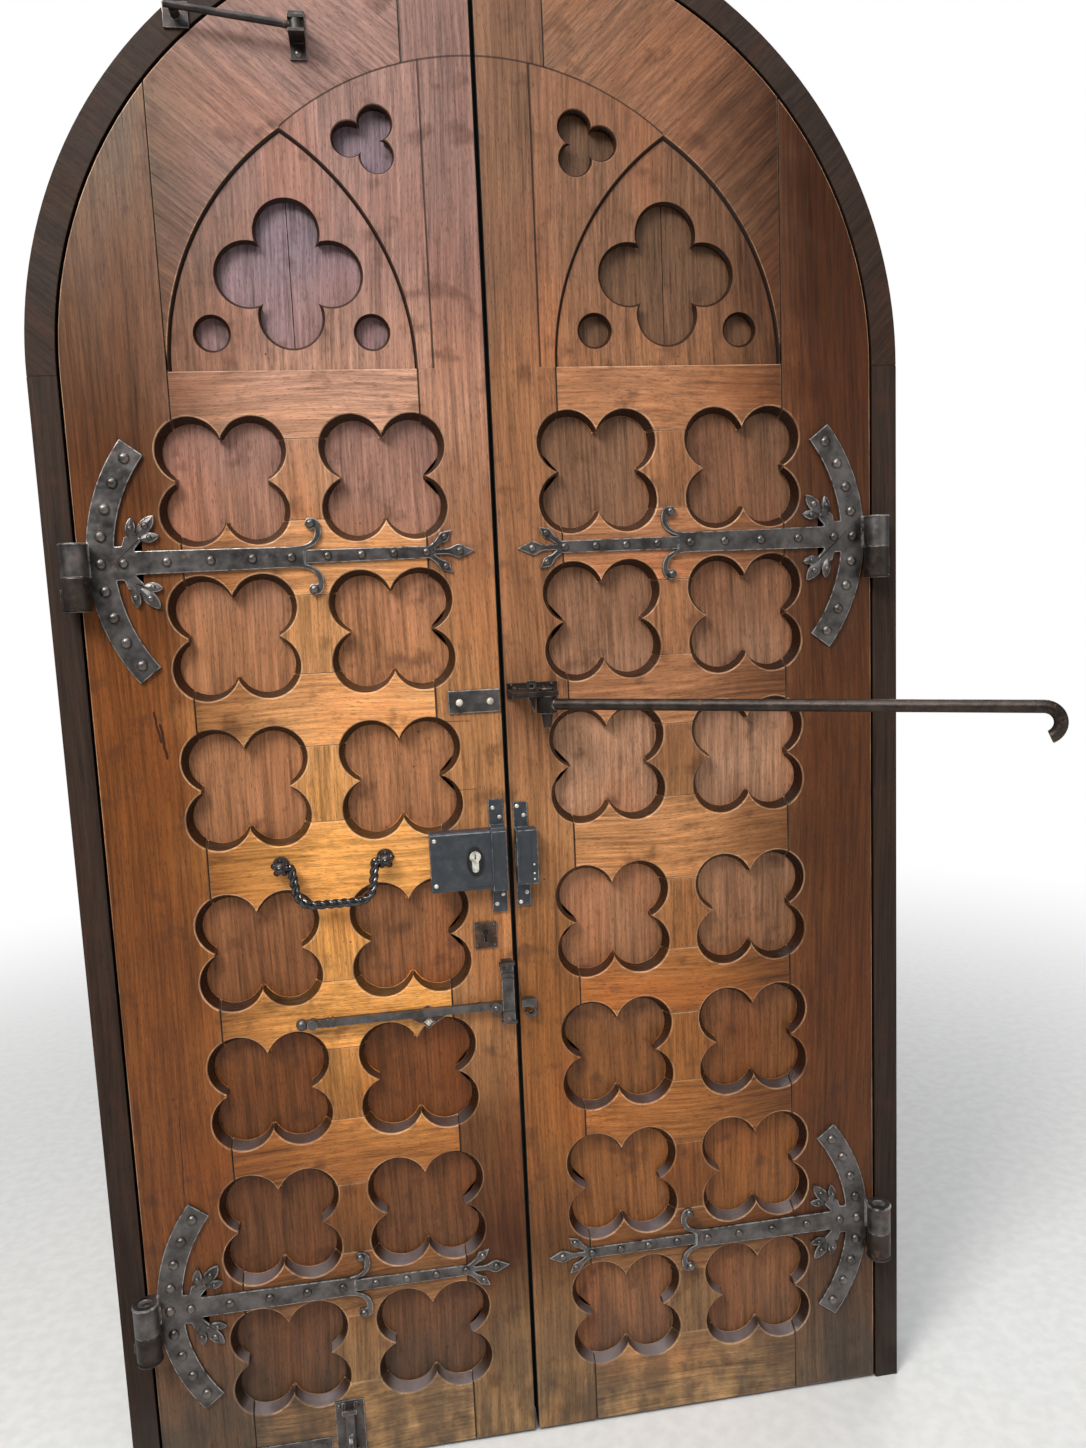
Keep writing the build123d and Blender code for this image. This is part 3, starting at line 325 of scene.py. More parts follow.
# Joints between the members: the distance from the door's middle and the heights it runs between
JOINTS = (
    (0.102, 0.0, 1.720), (0.453, 0.0, 2.400), (0.079, 1.720, 2.141), (0.102, 2.136, 2.400),
)
# The lancet's outline, with a band of painted shade round it, and the ring under the arch head.
LANCET_SILL = 1.720
LANCET_CENTRES = (0.058, 0.494)
LANCET_RADIUS = 0.393
LANCET_SHADE_WIDTH = 0.0045
RING_RADIUS = 0.432

# Where a look fades on the timber, in metres: widths, depths behind the face and heights
JOINT_EDGE = (0.0009, 0.0022)
JOINT_DEPTH = (0.0012, 0.0024)
RING_EDGE = (0.0008, 0.0020)
GAP_SHADE_EDGE = (0.0034, 0.0044)
# Painted shade on the sides of the openings, darker with depth, and a painted shadow in the
# undercut behind the lip.
REVEAL_SHADE_DEPTH = (0.0004, 0.0030)
UNDERCUT_SHADE_DEPTH = (0.0140, 0.0175)
# Painted shade on the arrises inside the openings, down to the lip's depth.
ARRIS_SHADE_DEPTH = (0.0018, 0.0036)
LIP_DEPTH = 0.0155
# Height over which the dust with a painted sky sheen fades out on the ledges.
SHEEN_AND_DUST_HEIGHT = (0.85, 0.10)
GRIME_HEIGHT = (0.34, 0.0)

# Marks on the timber: ends in millimetres as (x, z), then half the width
MARKS = {
    "left_hinge_stile": (
        ((-511, 1241), (-504, 1196), 2.2), ((-503, 1222), (-498, 1172), 2.6),
        ((-526, 621), (-529, 494), 0.9),
    ),
    "left_meeting_stile": (
        ((-100, 1202), (-52, 1200), 0.7), ((-100, 1094), (-48, 1095), 0.7),
    ),
}


def tone_ramp(paint, height, tones):
    """Tones that follow each other from the sill, at height 0, up to the last one's height."""
    top = max(tones)
    place = paint.scaled(height, 1 / top, 0.0, clamp=True)
    return paint.ramp(place, [(z / top, srgb(*OAK_TONES[tone])) for z, tone in tones.items()])


class Timber(Paint):
    """Waxed oak. Its grain runs up the door, turned by an angle in degrees for other members."""

    def __init__(self, name, turn, seed, boards):
        super().__init__(name)
        self.turn = (0, radians(turn), 0)
        self.x, self.depth, self.height = self.axes(self.place)
        self.aside = self.absolute(self.x)
        sway = self.noise(self.stretch(self.place, (3.1, 3.1, 1.3)), detail=0.0, colour=True)
        bent = self.shift(self.place, self.scale(self.shift(sway, (-0.5, -0.5, -0.5)), 0.05))
        straight = self.stretch(bent, (1, 1, 1), self.turn)
        grain = self.shift(straight, (seed, seed * 0.7, seed * 1.3))
        self.board = None
        if boards:
            across, first, width = boards
            off = self.minus({"x": self.x, "z": self.height}[across], first)
            index = self.math("FLOOR", self.math("DIVIDE", off, width))
            self.board = self.chance(self.math("ADD", index, seed))
            grain = self.shift(grain, self.scale(self.grey(self.board), 7.0))
        self.fibre = self.noise(self.stretch(grain, (210, 210, 7)), detail=3.0, roughness=0.72)
        self.bands = self.noise(self.stretch(grain, (52, 52, 1.9)), detail=1.0, roughness=0.5)
        self.broad = self.noise(self.stretch(grain, (8, 8, 2.6)), detail=1.0)
        pores = self.noise(self.stretch(grain, (980, 980, 110)), detail=1.0)
        self.pore = self.span(pores, 0.54, 0.74)
        self.blotch = self.noise(self.place, 7.5, detail=3.0, roughness=0.6)
        smear_place = self.stretch(self.place, (16, 16, 7))
        self.smear = self.noise(smear_place, detail=3.0, roughness=0.65)
        low_part = self.span(self.height, *GRIME_HEIGHT)
        self.grime = self.times(low_part, self.span(self.smear, 0.34, 0.62), clamp=True)

    def toned(self, tones, worn_lit_arris, shade):
        """Tone of the timber, varied by its fibres, growth bands and boards."""
        drift = self.minus(self.blotch, 0.5)
        height = self.scaled(drift, 0.22, self.height)
        # The tables by height carry painted light: a painted sky reflection and glare high up, a
        # painted glow at mid-height.
        ramps = [tone_ramp(self, height, table) for table in tones]
        colour = ramps[0]
        if len(ramps) == 2:
            outer = self.span(self.scaled(drift, 0.16, self.aside), *MIDDLE_REACH)
            colour = self.mix(outer, *ramps)
        if worn_lit_arris:
            # Arrises are paler in patches: wear with a painted highlight.
            rubbed = self.span(self.blotch, 0.32, 0.62, 0.10, 0.46)
            colour = self.mix(rubbed, colour, OAK["arris"])
        tone = self.scaled(self.fibre, 2.20 * shade, -0.74 * shade)
        tone = self.scaled(self.bands, 0.62 * shade, tone)
        tone = self.scaled(self.broad, 0.66 * shade, tone)
        if self.board is not None:
            tone = self.times(tone, self.span(self.board, 0.0, 1.0, 0.88, 1.10))
        if len(ramps) == 1:
            tone = self.times(tone, self.span(self.aside, 0.22, 0.40, 1.0, 0.80))
        tone = self.larger(tone, 0.16)
        return self.mix(1.0, colour, self.grey(tone), "MULTIPLY")

    def marked(self, colour, marks, joined):
        """The colour with red streaks, stains, pores, knots and scratches, and with its joints and
        a painted shade round the lancet.
        """
        red = self.span(self.broad, 0.48, 0.70, 0.0, 0.40)
        colour = self.mix(red, colour, self.mix(1.0, colour, OAK["red"], "MULTIPLY"))
        stains = self.noise(self.shift(self.place, (4.3, 0.7, 2.9)), 24.0, detail=3.0)
        colour = self.mix(self.span(stains, 0.56, 0.74, 0.0, 0.50), colour, OAK["stain"])
        colour = self.mix(self.times(self.pore, 0.50), colour, OAK["pore"])
        knots = self.cells(self.place, 17.0)
        picked = self.span(self.axes(knots.outputs["Color"])[0], 0.58, 0.62)
        spot = self.span(knots.outputs["Distance"], 0.018, 0.036, 1.0, 0.0)
        colour = self.mix(self.times(self.times(spot, picked), 0.8), colour, OAK["knot"])
        for mark in marks:
            colour = self.mix(self.times(self.scratch(*mark), 0.85), colour, OAK["scratch"])
        if joined:
            colour = self.mix(self.times(self.joints(), 0.85), colour, OAK["joint"])
            # Painted shade round the lancet, with the dark joint under the ring.
            colour = self.mix(self.times(self.lancet_shade_and_ring_joint(), 0.90), colour, OAK["lancet_shade_and_ring_joint"])
        return colour

    def scratch(self, start, end, half_width):
        """1 on a straight scratch between two points of the door's plane, 0 away from it."""
        (x0, z0), (x1, z1) = [(x * MM, z * MM) for x, z in (start, end)]
        length = hypot(x1 - x0, z1 - z0)
        along_x, along_z = (x1 - x0) / length, (z1 - z0) / length
        dx = self.minus(self.x, x0)
        dz = self.minus(self.height, z0)
        along = self.scaled(dz, along_z, self.times(dx, along_x))
        across = self.scaled(dz, -along_x, self.times(dx, along_z))
        past = self.absolute(self.minus(along, length / 2))
        over = self.larger(self.minus(past, length / 2), 0.0)
        wander = self.noise(self.scale(self.place, 60.0), detail=1.0)
        off = self.scaled(self.minus(wander, 0.5), 2 * half_width * MM, across)
        distance = self.math("ADD", self.absolute(off), over)
        return self.span(distance, half_width * MM * 0.5, half_width * MM, 1.0, 0.0)

    def joints(self):
        """1 along the joints between the members, 0 away from them."""
        lines = 0.0
        for reach, low, high in JOINTS:
            off = self.absolute(self.minus(self.aside, reach))
            line = self.span(off, *JOINT_EDGE, 1.0, 0.0)
            line = self.times(line, self.above(self.height, low))
            line = self.times(line, self.below(self.height, high))
            lines = self.larger(line, lines)
        return self.times(lines, self.span(self.depth, *JOINT_DEPTH, 1.0, 0.0))

    def distance_from(self, centre_x, centre_z):
        rise = self.minus(self.height, centre_z)
        reach = self.minus(self.aside, centre_x)
        return self.math("SQRT", self.scaled(rise, rise, self.times(reach, reach)))

    def lancet_shade_and_ring_joint(self):
        """1 on a band of painted shade round the lancet, standing for a splay, and in the joint
        under the ring, 0 elsewhere.
        """
        far = self.larger(*[self.distance_from(x, LANCET_SILL) for x in LANCET_CENTRES])
        off = self.absolute(self.minus(far, LANCET_RADIUS - 0.5 * LANCET_SHADE_WIDTH))
        splay_shade = self.span(off, 0.45 * LANCET_SHADE_WIDTH, 0.60 * LANCET_SHADE_WIDTH, 1.0, 0.0)
        ring = self.minus(self.distance_from(0.0, ARCH_CENTRE_Z * MM), RING_RADIUS)
        joint = self.span(self.absolute(ring), *RING_EDGE, 0.85, 0.0)
        beside = self.above(far, LANCET_RADIUS)
        inner = self.below(self.aside, 0.5 * sum(LANCET_CENTRES))
        joint = self.times(joint, self.times(beside, inner))
        return self.times(self.larger(splay_shade, joint), self.above(self.height, LANCET_SILL))

    def reveals(self):
        """Shares of painted shadow and of dust with a painted sky sheen on the sides of the
        openings, 0 on the faces.
        """
        facing = self.axes(self.facing)
        slanted = self.span(self.absolute(facing[1]), 0.97, 0.85)
        # Painted shade: darker deeper behind the face and on down-facing sides, with a painted
        # shadow in the undercut.
        shadowed = self.span(facing[2], 0.6, -0.6, 0.90, 0.97)
        depth_shade = self.times(self.span(self.depth, *REVEAL_SHADE_DEPTH), shadowed)
        depth_shade = self.larger(depth_shade, self.span(self.depth, *UNDERCUT_SHADE_DEPTH, 0.0, 0.92))
        # Dust with a painted sky sheen on the low upward-facing ledges of the openings.
        sheen_ledge = self.times(self.span(facing[2], 0.35, 0.85), self.span(self.height, *SHEEN_AND_DUST_HEIGHT))
        dusty = self.times(sheen_ledge, self.span(self.smear, 0.30, 0.62, 0.30, 0.62))
        return self.times(depth_shade, slanted), self.times(dusty, slanted)

    def relief(self):
        straight = self.stretch(self.place, (1, 1, 1), self.turn)
        fine = self.noise(self.stretch(straight, (330, 330, 22)), detail=1.0)
        swell = self.noise(self.stretch(straight, (22, 22, 5)), detail=0.0)
        return self.bump(swell, 0.40, 0.0050, self.bump(fine, 0.55, 0.0006))


def timber(name, tones, turn=0.0, seed=0.0, boards=None, worn_lit_arris=False, marks=(), gloss=OAK_GLOSS,
           shade=1.0):
    """Oak for one member of the door, or for its arrises, which are paler with wear and a painted
    highlight, and darker with painted shade inside the openings.
    tones are one table by height, or two: for the middle of the door and for its outer edges.
    boards gives (x or z, first edge, width) in metres where each board has its own tone."""
    oak = Timber(name, turn, seed, boards)
    colour = oak.toned(tones, worn_lit_arris, shade)
    colour = oak.marked(colour, marks, joined=len(tones) == 2)
    colour = oak.mix(oak.times(oak.grime, 0.72), colour, OAK["grime"])
    shine = oak.scaled(oak.broad, 0.24, gloss - 0.12)
    shine = oak.scaled(oak.pore, 0.16, shine)
    shine = oak.scaled(oak.grime, 0.22, shine)
    if worn_lit_arris:
        # Painted shade: arrises inside the openings, between the face and the lip, are darkened.
        inside = oak.span(oak.depth, *ARRIS_SHADE_DEPTH, 0.0, 0.85)
        inside = oak.times(inside, oak.below(oak.depth, LIP_DEPTH))
        colour = oak.mix(inside, colour, OAK["lip"])
    else:
        shadow, dust = oak.reveals()
        # Painted shade on the sides of the openings.
        colour = oak.mix(shadow, colour, OAK["reveal_shade"])
        # Dust with a painted sky sheen on the low ledges.
        colour = oak.mix(dust, colour, OAK["dust"])
        shine = oak.scaled(shadow, -0.14, shine)
    # Painted shade: the leaves' meeting edges are near-black, as the gap between them lies in
    # shade.
    gap = oak.span(oak.aside, *GAP_SHADE_EDGE, 0.95, 0.0)
    colour = oak.mix(gap, colour, OAK["gap"])
    shine = oak.scaled(gap, 0.6, shine, clamp=True)
    oak.shader.inputs["Specular IOR Level"].default_value = OAK_SPECULAR
    return oak.finish(colour, shine, oak.relief())


def iron(name, base, rust=0.25, edge=False, hammer=1.0, shine=0.40, rub=(176, 172, 168)):
    """Forged iron: hammer dents, fine pits, brown rust in patches and rubbed edges."""
    paint = Paint(name)
    dents = paint.noise(paint.place, 95.0, detail=0.0)
    pits = paint.noise(paint.place, 900.0, detail=2.0)
    cloud = paint.noise(paint.place, 32.0, detail=4.0, roughness=0.62)
    patch = paint.noise(paint.shift(paint.place, (3.1, 1.7, 0.4)), 55.0, detail=4.0, roughness=0.7)
    colour = paint.mix(paint.span(cloud, 0.30, 0.72), dimmed(base, 0.72), dimmed(base, 1.22))
    if edge:
        rubbed = paint.span(paint.noise(paint.place, 120.0, detail=2.0), 0.30, 0.62)
        colour = paint.mix(rubbed, colour, srgb(*rub))
    rusted = paint.span(patch, 0.70 - rust * 0.5, 0.84 - rust * 0.5)
    browns = paint.mix(paint.span(pits, 0.35, 0.65), srgb(78, 46, 32), srgb(128, 80, 54))
    colour = paint.mix(paint.times(rusted, 0.75), colour, browns)
    specks = paint.span(pits, 0.66, 0.74)
    colour = paint.mix(paint.times(specks, 0.5), colour, srgb(150, 142, 134))
    relief = paint.bump(dents, 0.5 * hammer, 0.0016)
    normal = paint.bump(pits, 0.35, 0.0004, relief)
    rough = paint.scaled(cloud, 0.24, shine - 0.12)
    rough = paint.scaled(rusted, 0.26, rough)
    metal = paint.scaled(rusted, -0.75, 0.86)
    return paint.finish(colour, rough, normal, metal)


def coated(name, base, edge=False):
    """Satin powder coat with a faint orange peel, dust and small chips."""
    paint = Paint(name)
    peel = paint.noise(paint.place, 1500.0, detail=1.0)
    dust = paint.noise(paint.place, 60.0, detail=4.0, roughness=0.65)
    dusty = paint.span(dust, 0.40, 0.75, 0.0, 0.20)
    colour = paint.mix(dusty, srgb(*base), srgb(112, 112, 112))
    if edge:
        rubbed = paint.span(paint.noise(paint.place, 240.0, detail=3.0), 0.42, 0.66)
        colour = paint.mix(rubbed, colour, srgb(142, 142, 144))
    chips = paint.span(paint.noise(paint.place, 420.0, detail=2.0), 0.74, 0.77)
    colour = paint.mix(paint.times(chips, 0.6), colour, srgb(150, 148, 146))
    rough = paint.scaled(dust, 0.22, 0.30)
    return paint.finish(colour, rough, paint.bump(peel, 0.12, 0.0002))


def plated(name, base, rough=0.26, metal=0.45):
    """Plated metal with fine brushing and dull spots."""
    paint = Paint(name)
    brush = paint.noise(paint.stretch(paint.place, (400, 400, 2600)), detail=2.0)
    dull = paint.noise(paint.place, 130.0, detail=3.0)
    colour = paint.mix(paint.span(dull, 0.42, 0.72), srgb(*base), dimmed(base, 0.72))
    shine = paint.scaled(dull, 0.24, rough - 0.06)
    return paint.finish(colour, shine, paint.bump(brush, 0.10, 0.0001), metal)


def polished(name, base):
    """Black iron rubbed bright by hands, with fine scratches and dull spots."""
    paint = Paint(name)
    fine = paint.noise(paint.place, 700.0, detail=2.0)
    cloud = paint.noise(paint.place, 90.0, detail=3.0, roughness=0.6)
    colour = paint.mix(paint.span(cloud, 0.35, 0.70), srgb(*base), dimmed(base, 0.70))
    rough = paint.scaled(cloud, 0.16, 0.10)
    return paint.finish(colour, rough, paint.bump(fine, 0.12, 0.0002), 0.90)


# Near-black: the escutcheon's own black, and a painted shade in the keyhole.
def black_and_keyhole_shade():
    paint = Paint("black_and_keyhole_shade")
    shade = paint.noise(paint.place, 300.0, detail=2.0)
    colour = paint.mix(paint.span(shade, 0.3, 0.7), srgb(10, 9, 8), srgb(26, 22, 19))
    return paint.finish(colour, 0.8, paint.bump(shade, 0.2, 0.0003))


IRON = (92, 88, 86)
OLD_IRON = (62, 54, 49)
OLD_IRON_RUBBED = (84, 76, 70)
paints = {
    "iron": iron("forged_iron", IRON, rust=0.20),
    "iron_edge": iron("forged_iron_arris", IRON, rust=0.12, edge=True),
    "iron_stud": iron("iron_studs", (104, 98, 94), rust=0.24, hammer=0.5, shine=0.34),
    "polished": polished("polished_iron", (88, 86, 86)),
    "rusty": iron("rusty_iron", OLD_IRON, rust=0.22, hammer=0.7, shine=0.46),
    "rusty_edge": iron(
        "rusty_iron_arris", OLD_IRON_RUBBED, rust=0.20, edge=True, shine=0.44, rub=(140, 132, 126)
    ),
    # Painted shade: darker copies of the forged iron for the head stay, so that the key lamp's
    # strong light on it is taken down.
    "dark_iron": iron("dark_iron", (58, 54, 52), rust=0.22, hammer=0.6, shine=0.46),
    "dark_edge": iron(
        "dark_iron_arris", (70, 66, 64), rust=0.18, edge=True, shine=0.44, rub=(128, 122, 118)
    ),
    "brown_iron": iron("brown_iron", (92, 74, 64), rust=0.34, hammer=0.6, shine=0.48),
    "lock": coated("black_coat", (46, 50, 55)),
    "lock_edge": coated("black_coat_arris", (70, 75, 81), edge=True),
    # Painted highlight: pale plated rims along the lock's top edges.
    "lock_highlight_rim": plated("painted_highlight_rim", (150, 154, 160), rough=0.34, metal=0.5),
    "nickel": plated("nickel", (236, 231, 217)),
    "cream": plated("cream_studs", (226, 217, 198), rough=0.36, metal=0.3),
    "hole": black_and_keyhole_shade(),
}


def smooth_by_angle(limit):
    """Geometry nodes that shade smooth except across edges sharper than the limit in degrees."""
    group = bpy.data.node_groups.new("smooth_by_angle", "GeometryNodeTree")
    group.interface.new_socket("Geometry", in_out="INPUT", socket_type="NodeSocketGeometry")
    group.interface.new_socket("Geometry", in_out="OUTPUT", socket_type="NodeSocketGeometry")
    add, join = group.nodes.new, group.links.new
    source = add("NodeGroupInput")
    target = add("NodeGroupOutput")
    drop = add("GeometryNodeRemoveAttribute")
    faces = add("GeometryNodeSetShadeSmooth")
    edges = add("GeometryNodeSetShadeSmooth")
    angle = add("GeometryNodeInputMeshEdgeAngle")
    compare = add("FunctionNodeCompare")
    drop.inputs["Name"].default_value = "custom_normal"
    faces.domain, edges.domain = "FACE", "EDGE"
    compare.operation = "LESS_THAN"
    compare.inputs["B"].default_value = radians(limit)
    join(source.outputs[0], drop.inputs[0])
    join(drop.outputs[0], faces.inputs[0])
    join(faces.outputs[0], edges.inputs[0])
    join(angle.outputs[0], compare.inputs["A"])
    join(compare.outputs[0], edges.inputs["Shade Smooth"])
    join(edges.outputs[0], target.inputs[0])
    return group


SHARP_ANGLE = 38
FLAT_ANGLE = 0.4
WELD_REACH = 0.00002
SMOOTH = smooth_by_angle(SHARP_ANGLE)


def shade(obj):
    modifier = obj.modifiers.new("smooth", "NODES")
    modifier.node_group = SMOOTH
    weights = obj.modifiers.new("weights", "WEIGHTED_NORMAL")
    weights.keep_sharp = True


def dress(node, main, edge, width, clamp=True):
    """Gives a node its materials and rounds its arrises, which take the edge material."""
    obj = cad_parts[node]
    obj.data.materials.clear()
    obj.data.materials.append(main)
    obj.data.materials.append(edge)
    obj.modifiers.new("weld", "WELD").merge_threshold = WELD_REACH
    flat = obj.modifiers.new("flat", "DECIMATE")
    flat.decimate_type = "DISSOLVE"
    flat.angle_limit = radians(FLAT_ANGLE)
    bevel = obj.modifiers.new("arris", "BEVEL")
    bevel.width = width * MM
    bevel.segments = 2
    bevel.use_clamp_overlap = clamp
    bevel.limit_method = "ANGLE"
    bevel.angle_limit = radians(SHARP_ANGLE)
    bevel.miter_outer = "MITER_ARC"
    bevel.material = 1
    shade(obj)


OAK_ARRIS = 1.5
HEAD_GRAIN = 48

# Members of a leaf: the grain's turn in degrees, the tone's depth, and the arris' width where it
# isn't the usual one. Rails and muntins lie row by row and the boards side by side.
MEMBERS = {
    "hinge_stile": dict(turn=0, shade=0.98),
    "meeting_stile": dict(turn=0, shade=0.74, arris=1.0),
    "rails": dict(turn=90, shade=1.04, boards=("z", -0.025, 0.224)),
    "muntins": dict(turn=0, shade=0.80, boards=("z", 0.085, 0.224)),
    "arch_rail": dict(turn=HEAD_GRAIN, shade=0.86),
    "tympanum_panel": dict(turn=0, shade=0.86, arris=0.2),
    "boards": dict(turn=0, shade=1.0, arris=0.8, gloss=BOARD_GLOSS),
}
BOARD_ROWS = {"left": ("x", -0.045, 0.230), "right": ("x", 0.045, 0.230)}
TONES = {"boards": BOARD_TONES, "meeting_stile": MEETING_TONES}


def dress_timber():
    for side, sign, seed in (("left", 1, 1.0), ("right", -1, 5.0)):
        for offset, (member, options) in enumerate(MEMBERS.items()):
            node = f"{side}_{member}"
            given = dict(options, seed=seed + offset * 0.37, marks=MARKS.get(node, ()))
            given["turn"] *= sign
            arris = given.pop("arris", OAK_ARRIS)
            tones = TONES.get(member, RAIL_TONES)[side]
            if member == "boards":
                given["boards"] = BOARD_ROWS[side]
            main = edge = timber(f"oak_{node}", tones, **given)
            if member != "boards":
                edge = timber(f"oak_{node}_arris", tones, worn_lit_arris=True, **given)
            dress(node, main, edge, arris, clamp=False)
        for part, turn in (("jamb", 0), ("head", HEAD_GRAIN * sign)):
            node = f"frame_{part}_{side}"
            main = timber(f"oak_{node}", FRAME_TONES, turn=turn, seed=seed + 3, gloss=FRAME_GLOSS)
            dress(node, main, main, OAK_ARRIS)


# Small metal nodes: their paint and their arrises' paint, then each node's arris in millimetres
METAL_NODES = {
    ("iron", "iron_edge"): {
        "latch_bar": 1.3, "latch_pivot": 0.8, "latch_guide": 1.0, "latch_catch": 0.9,
        "handle_rosettes": 0.8, "hasp_plate": 0.5, "foot_plate": 0.8, "foot_bolt": 1.2,
        "kick_strip": 0.7,
    },
    # Painted shade: the head stay in darker copies of the forged iron.
    ("dark_iron", "dark_edge"): {
        "head_stay_bracket": 0.8, "head_stay_rest": 0.8, "head_stay_arm": 0.7,
    },
    ("brown_iron", "iron_edge"): {"keyhole_plate": 0.8, "latch_rose": 0.9},
    ("rusty", "rusty_edge"): {
        "stay_bracket": 0.9, "stay_pin": 0.9, "stay_bar": 0.9, "stay_wedge": 0.8,
    },
    ("lock", "lock_edge"): {"lock_case": 1.6, "lock_band": 0.9, "lock_keeper": 1.2},
    ("nickel", "nickel"): {"lock_cylinder": 0.5, "lock_plug": 0.4, "lock_bolt": 0.8},
}
STRAP_ARRIS = 1.4


def dress_metal():
    for side in ("left", "right"):
        for level in STRAP_LEVELS:
            strap, pintle = f"strap_{level}_{side}", f"pintle_{level}_{side}"
            dress(strap, paints["iron"], paints["iron_edge"], STRAP_ARRIS, clamp=False)
            dress(pintle, paints["rusty"], paints["rusty_edge"], STRAP_ARRIS)
    for (main, edge), widths in METAL_NODES.items():
        for node, width in widths.items():
            dress(node, paints[main], paints[edge], width)


LEAF_SECTION = (
    (-1.0, 0.0), (-0.62, 0.62), (-0.12, 0.84), (0.0, 1.0), (0.12, 0.84), (0.62, 0.62), (1.0, 0.0),
)
SUNK = 0.4


class Sculpt:
    """Collects forms for one new piece and turns them into an object that rides on a body."""

    def __init__(self, name, body, paint, slot, seed=1):
        self.name, self.body, self.paint, self.slot = name, body, paint, slot
        self.bm = bmesh.new()
        self.random = Random(seed)

    def lathe(self, origin, axis, profile, segments=16, wobble=0.0):
        """Turned form from (radius, height) pairs in millimetres, closed at both ends."""
        turn = Vector((0, 0, 1)).rotation_difference(Vector(axis).normalized()).to_matrix()
        rings = []
        for radius, height in profile:
            ring = []
            for n in range(segments):
                angle = 2 * pi * n / segments
                grown = radius * (1 + self.random.uniform(-wobble, wobble))
                local = Vector((grown * cos(angle), grown * sin(angle), height)) * MM
                ring.append(self.bm.verts.new(origin + turn @ local))
            rings.append(ring)
        self.skin(rings)

    def skin(self, rings, capped=True):
        for low, high in zip(rings, rings[1:]):
            for n, start in enumerate(low):
                m = (n + 1) % len(low)
                self.bm.faces.new((start, low[m], high[m], high[n]))
        if capped:
            self.bm.faces.new(rings[0][::-1])
            self.bm.faces.new(rings[-1])

    def dome(self, x, z, base, radius, rise, wobble=0.035, button=0.0):
        """Rivet head that faces the viewer, with a slight collar."""
        profile = [(radius, -SUNK), (radius, rise * 0.16), (radius * 0.93, rise * 0.42)]
        profile += [(radius * 0.76, rise * 0.72), (radius * 0.5, rise * 0.92), (radius * 0.2, rise)]
        if button:
            profile += [(radius * button, rise), (radius * button * 0.7, rise * 1.2)]
        self.lathe(point(x, base, z), (0, -1, 0), profile, 14, wobble)

    def leaf(self, root, tip, half_width, base, rise, sections=12):
        """Ridged leaf between two points of the door's plane."""
        length = hypot(tip[0] - root[0], tip[1] - root[1])
        side = (-(tip[1] - root[1]) / length, (tip[0] - root[0]) / length)
        rings = []
        for n in range(sections + 1):
            t = 0.02 + 0.96 * n / sections
            wide = half_width * sin(pi * t ** 0.85) ** 0.8
            high = rise * sin(pi * t ** 0.9) ** 0.7
            x = root[0] + (tip[0] - root[0]) * t
            z = root[1] + (tip[1] - root[1]) * t
            ring = []
            for across, up in LEAF_SECTION:
                off = wide * across
                place = point(x + side[0] * off, base + high * up, z + side[1] * off)
                ring.append(self.bm.verts.new(place))
            ring.append(self.bm.verts.new(point(x, base - 0.6, z)))
            rings.append(ring)
        self.skin(rings)

    def tube(self, path, section):
        """Closed tube along a path in metres; section gives its outline at a given length."""
        normal = Vector((0, -1, 0))
        rings = []
        run = 0.0
        for n, place in enumerate(path):
            before = path[max(n - 1, 0)]
            after = path[min(n + 1, len(path) - 1)]
            along = (after - before).normalized()
            side = along.cross(normal).normalized()
            up = side.cross(along).normalized()
            if n:
                run += (place - path[n - 1]).length / MM
            ring = [self.bm.verts.new(place + (side * a + up * b) * MM) for a, b in section(run)]
            rings.append(ring)
        self.skin(rings)

    def slab(self, outline, base, top, inset=0.0):
        """Flat plate over an outline in the door's plane, with a sloping edge."""
        cx = sum(x for x, z in outline) / len(outline)
        cz = sum(z for x, z in outline) / len(outline)
        rings = []
        for height, shrink in ((base, 0.0), (top - inset, 0.0), (top, inset)):
            ring = []
            for x, z in outline:
                reach = hypot(x - cx, z - cz)
                share = (reach - shrink) / reach
                place = point(cx + (x - cx) * share, height, cz + (z - cz) * share)
                ring.append(self.bm.verts.new(place))
            rings.append(ring)
        self.skin(rings)

    def done(self, replaces=()):
        bmesh.ops.recalc_face_normals(self.bm, faces=self.bm.faces)
        mesh = bpy.data.meshes.new(self.name)
        self.bm.to_mesh(mesh)
        self.bm.free()
        obj = new_object(self.name, mesh)
        mesh.materials.append(paints[self.paint])
        shade(obj)
        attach(obj, self.body)
        if replaces:
            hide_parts(*replaces)
        return obj


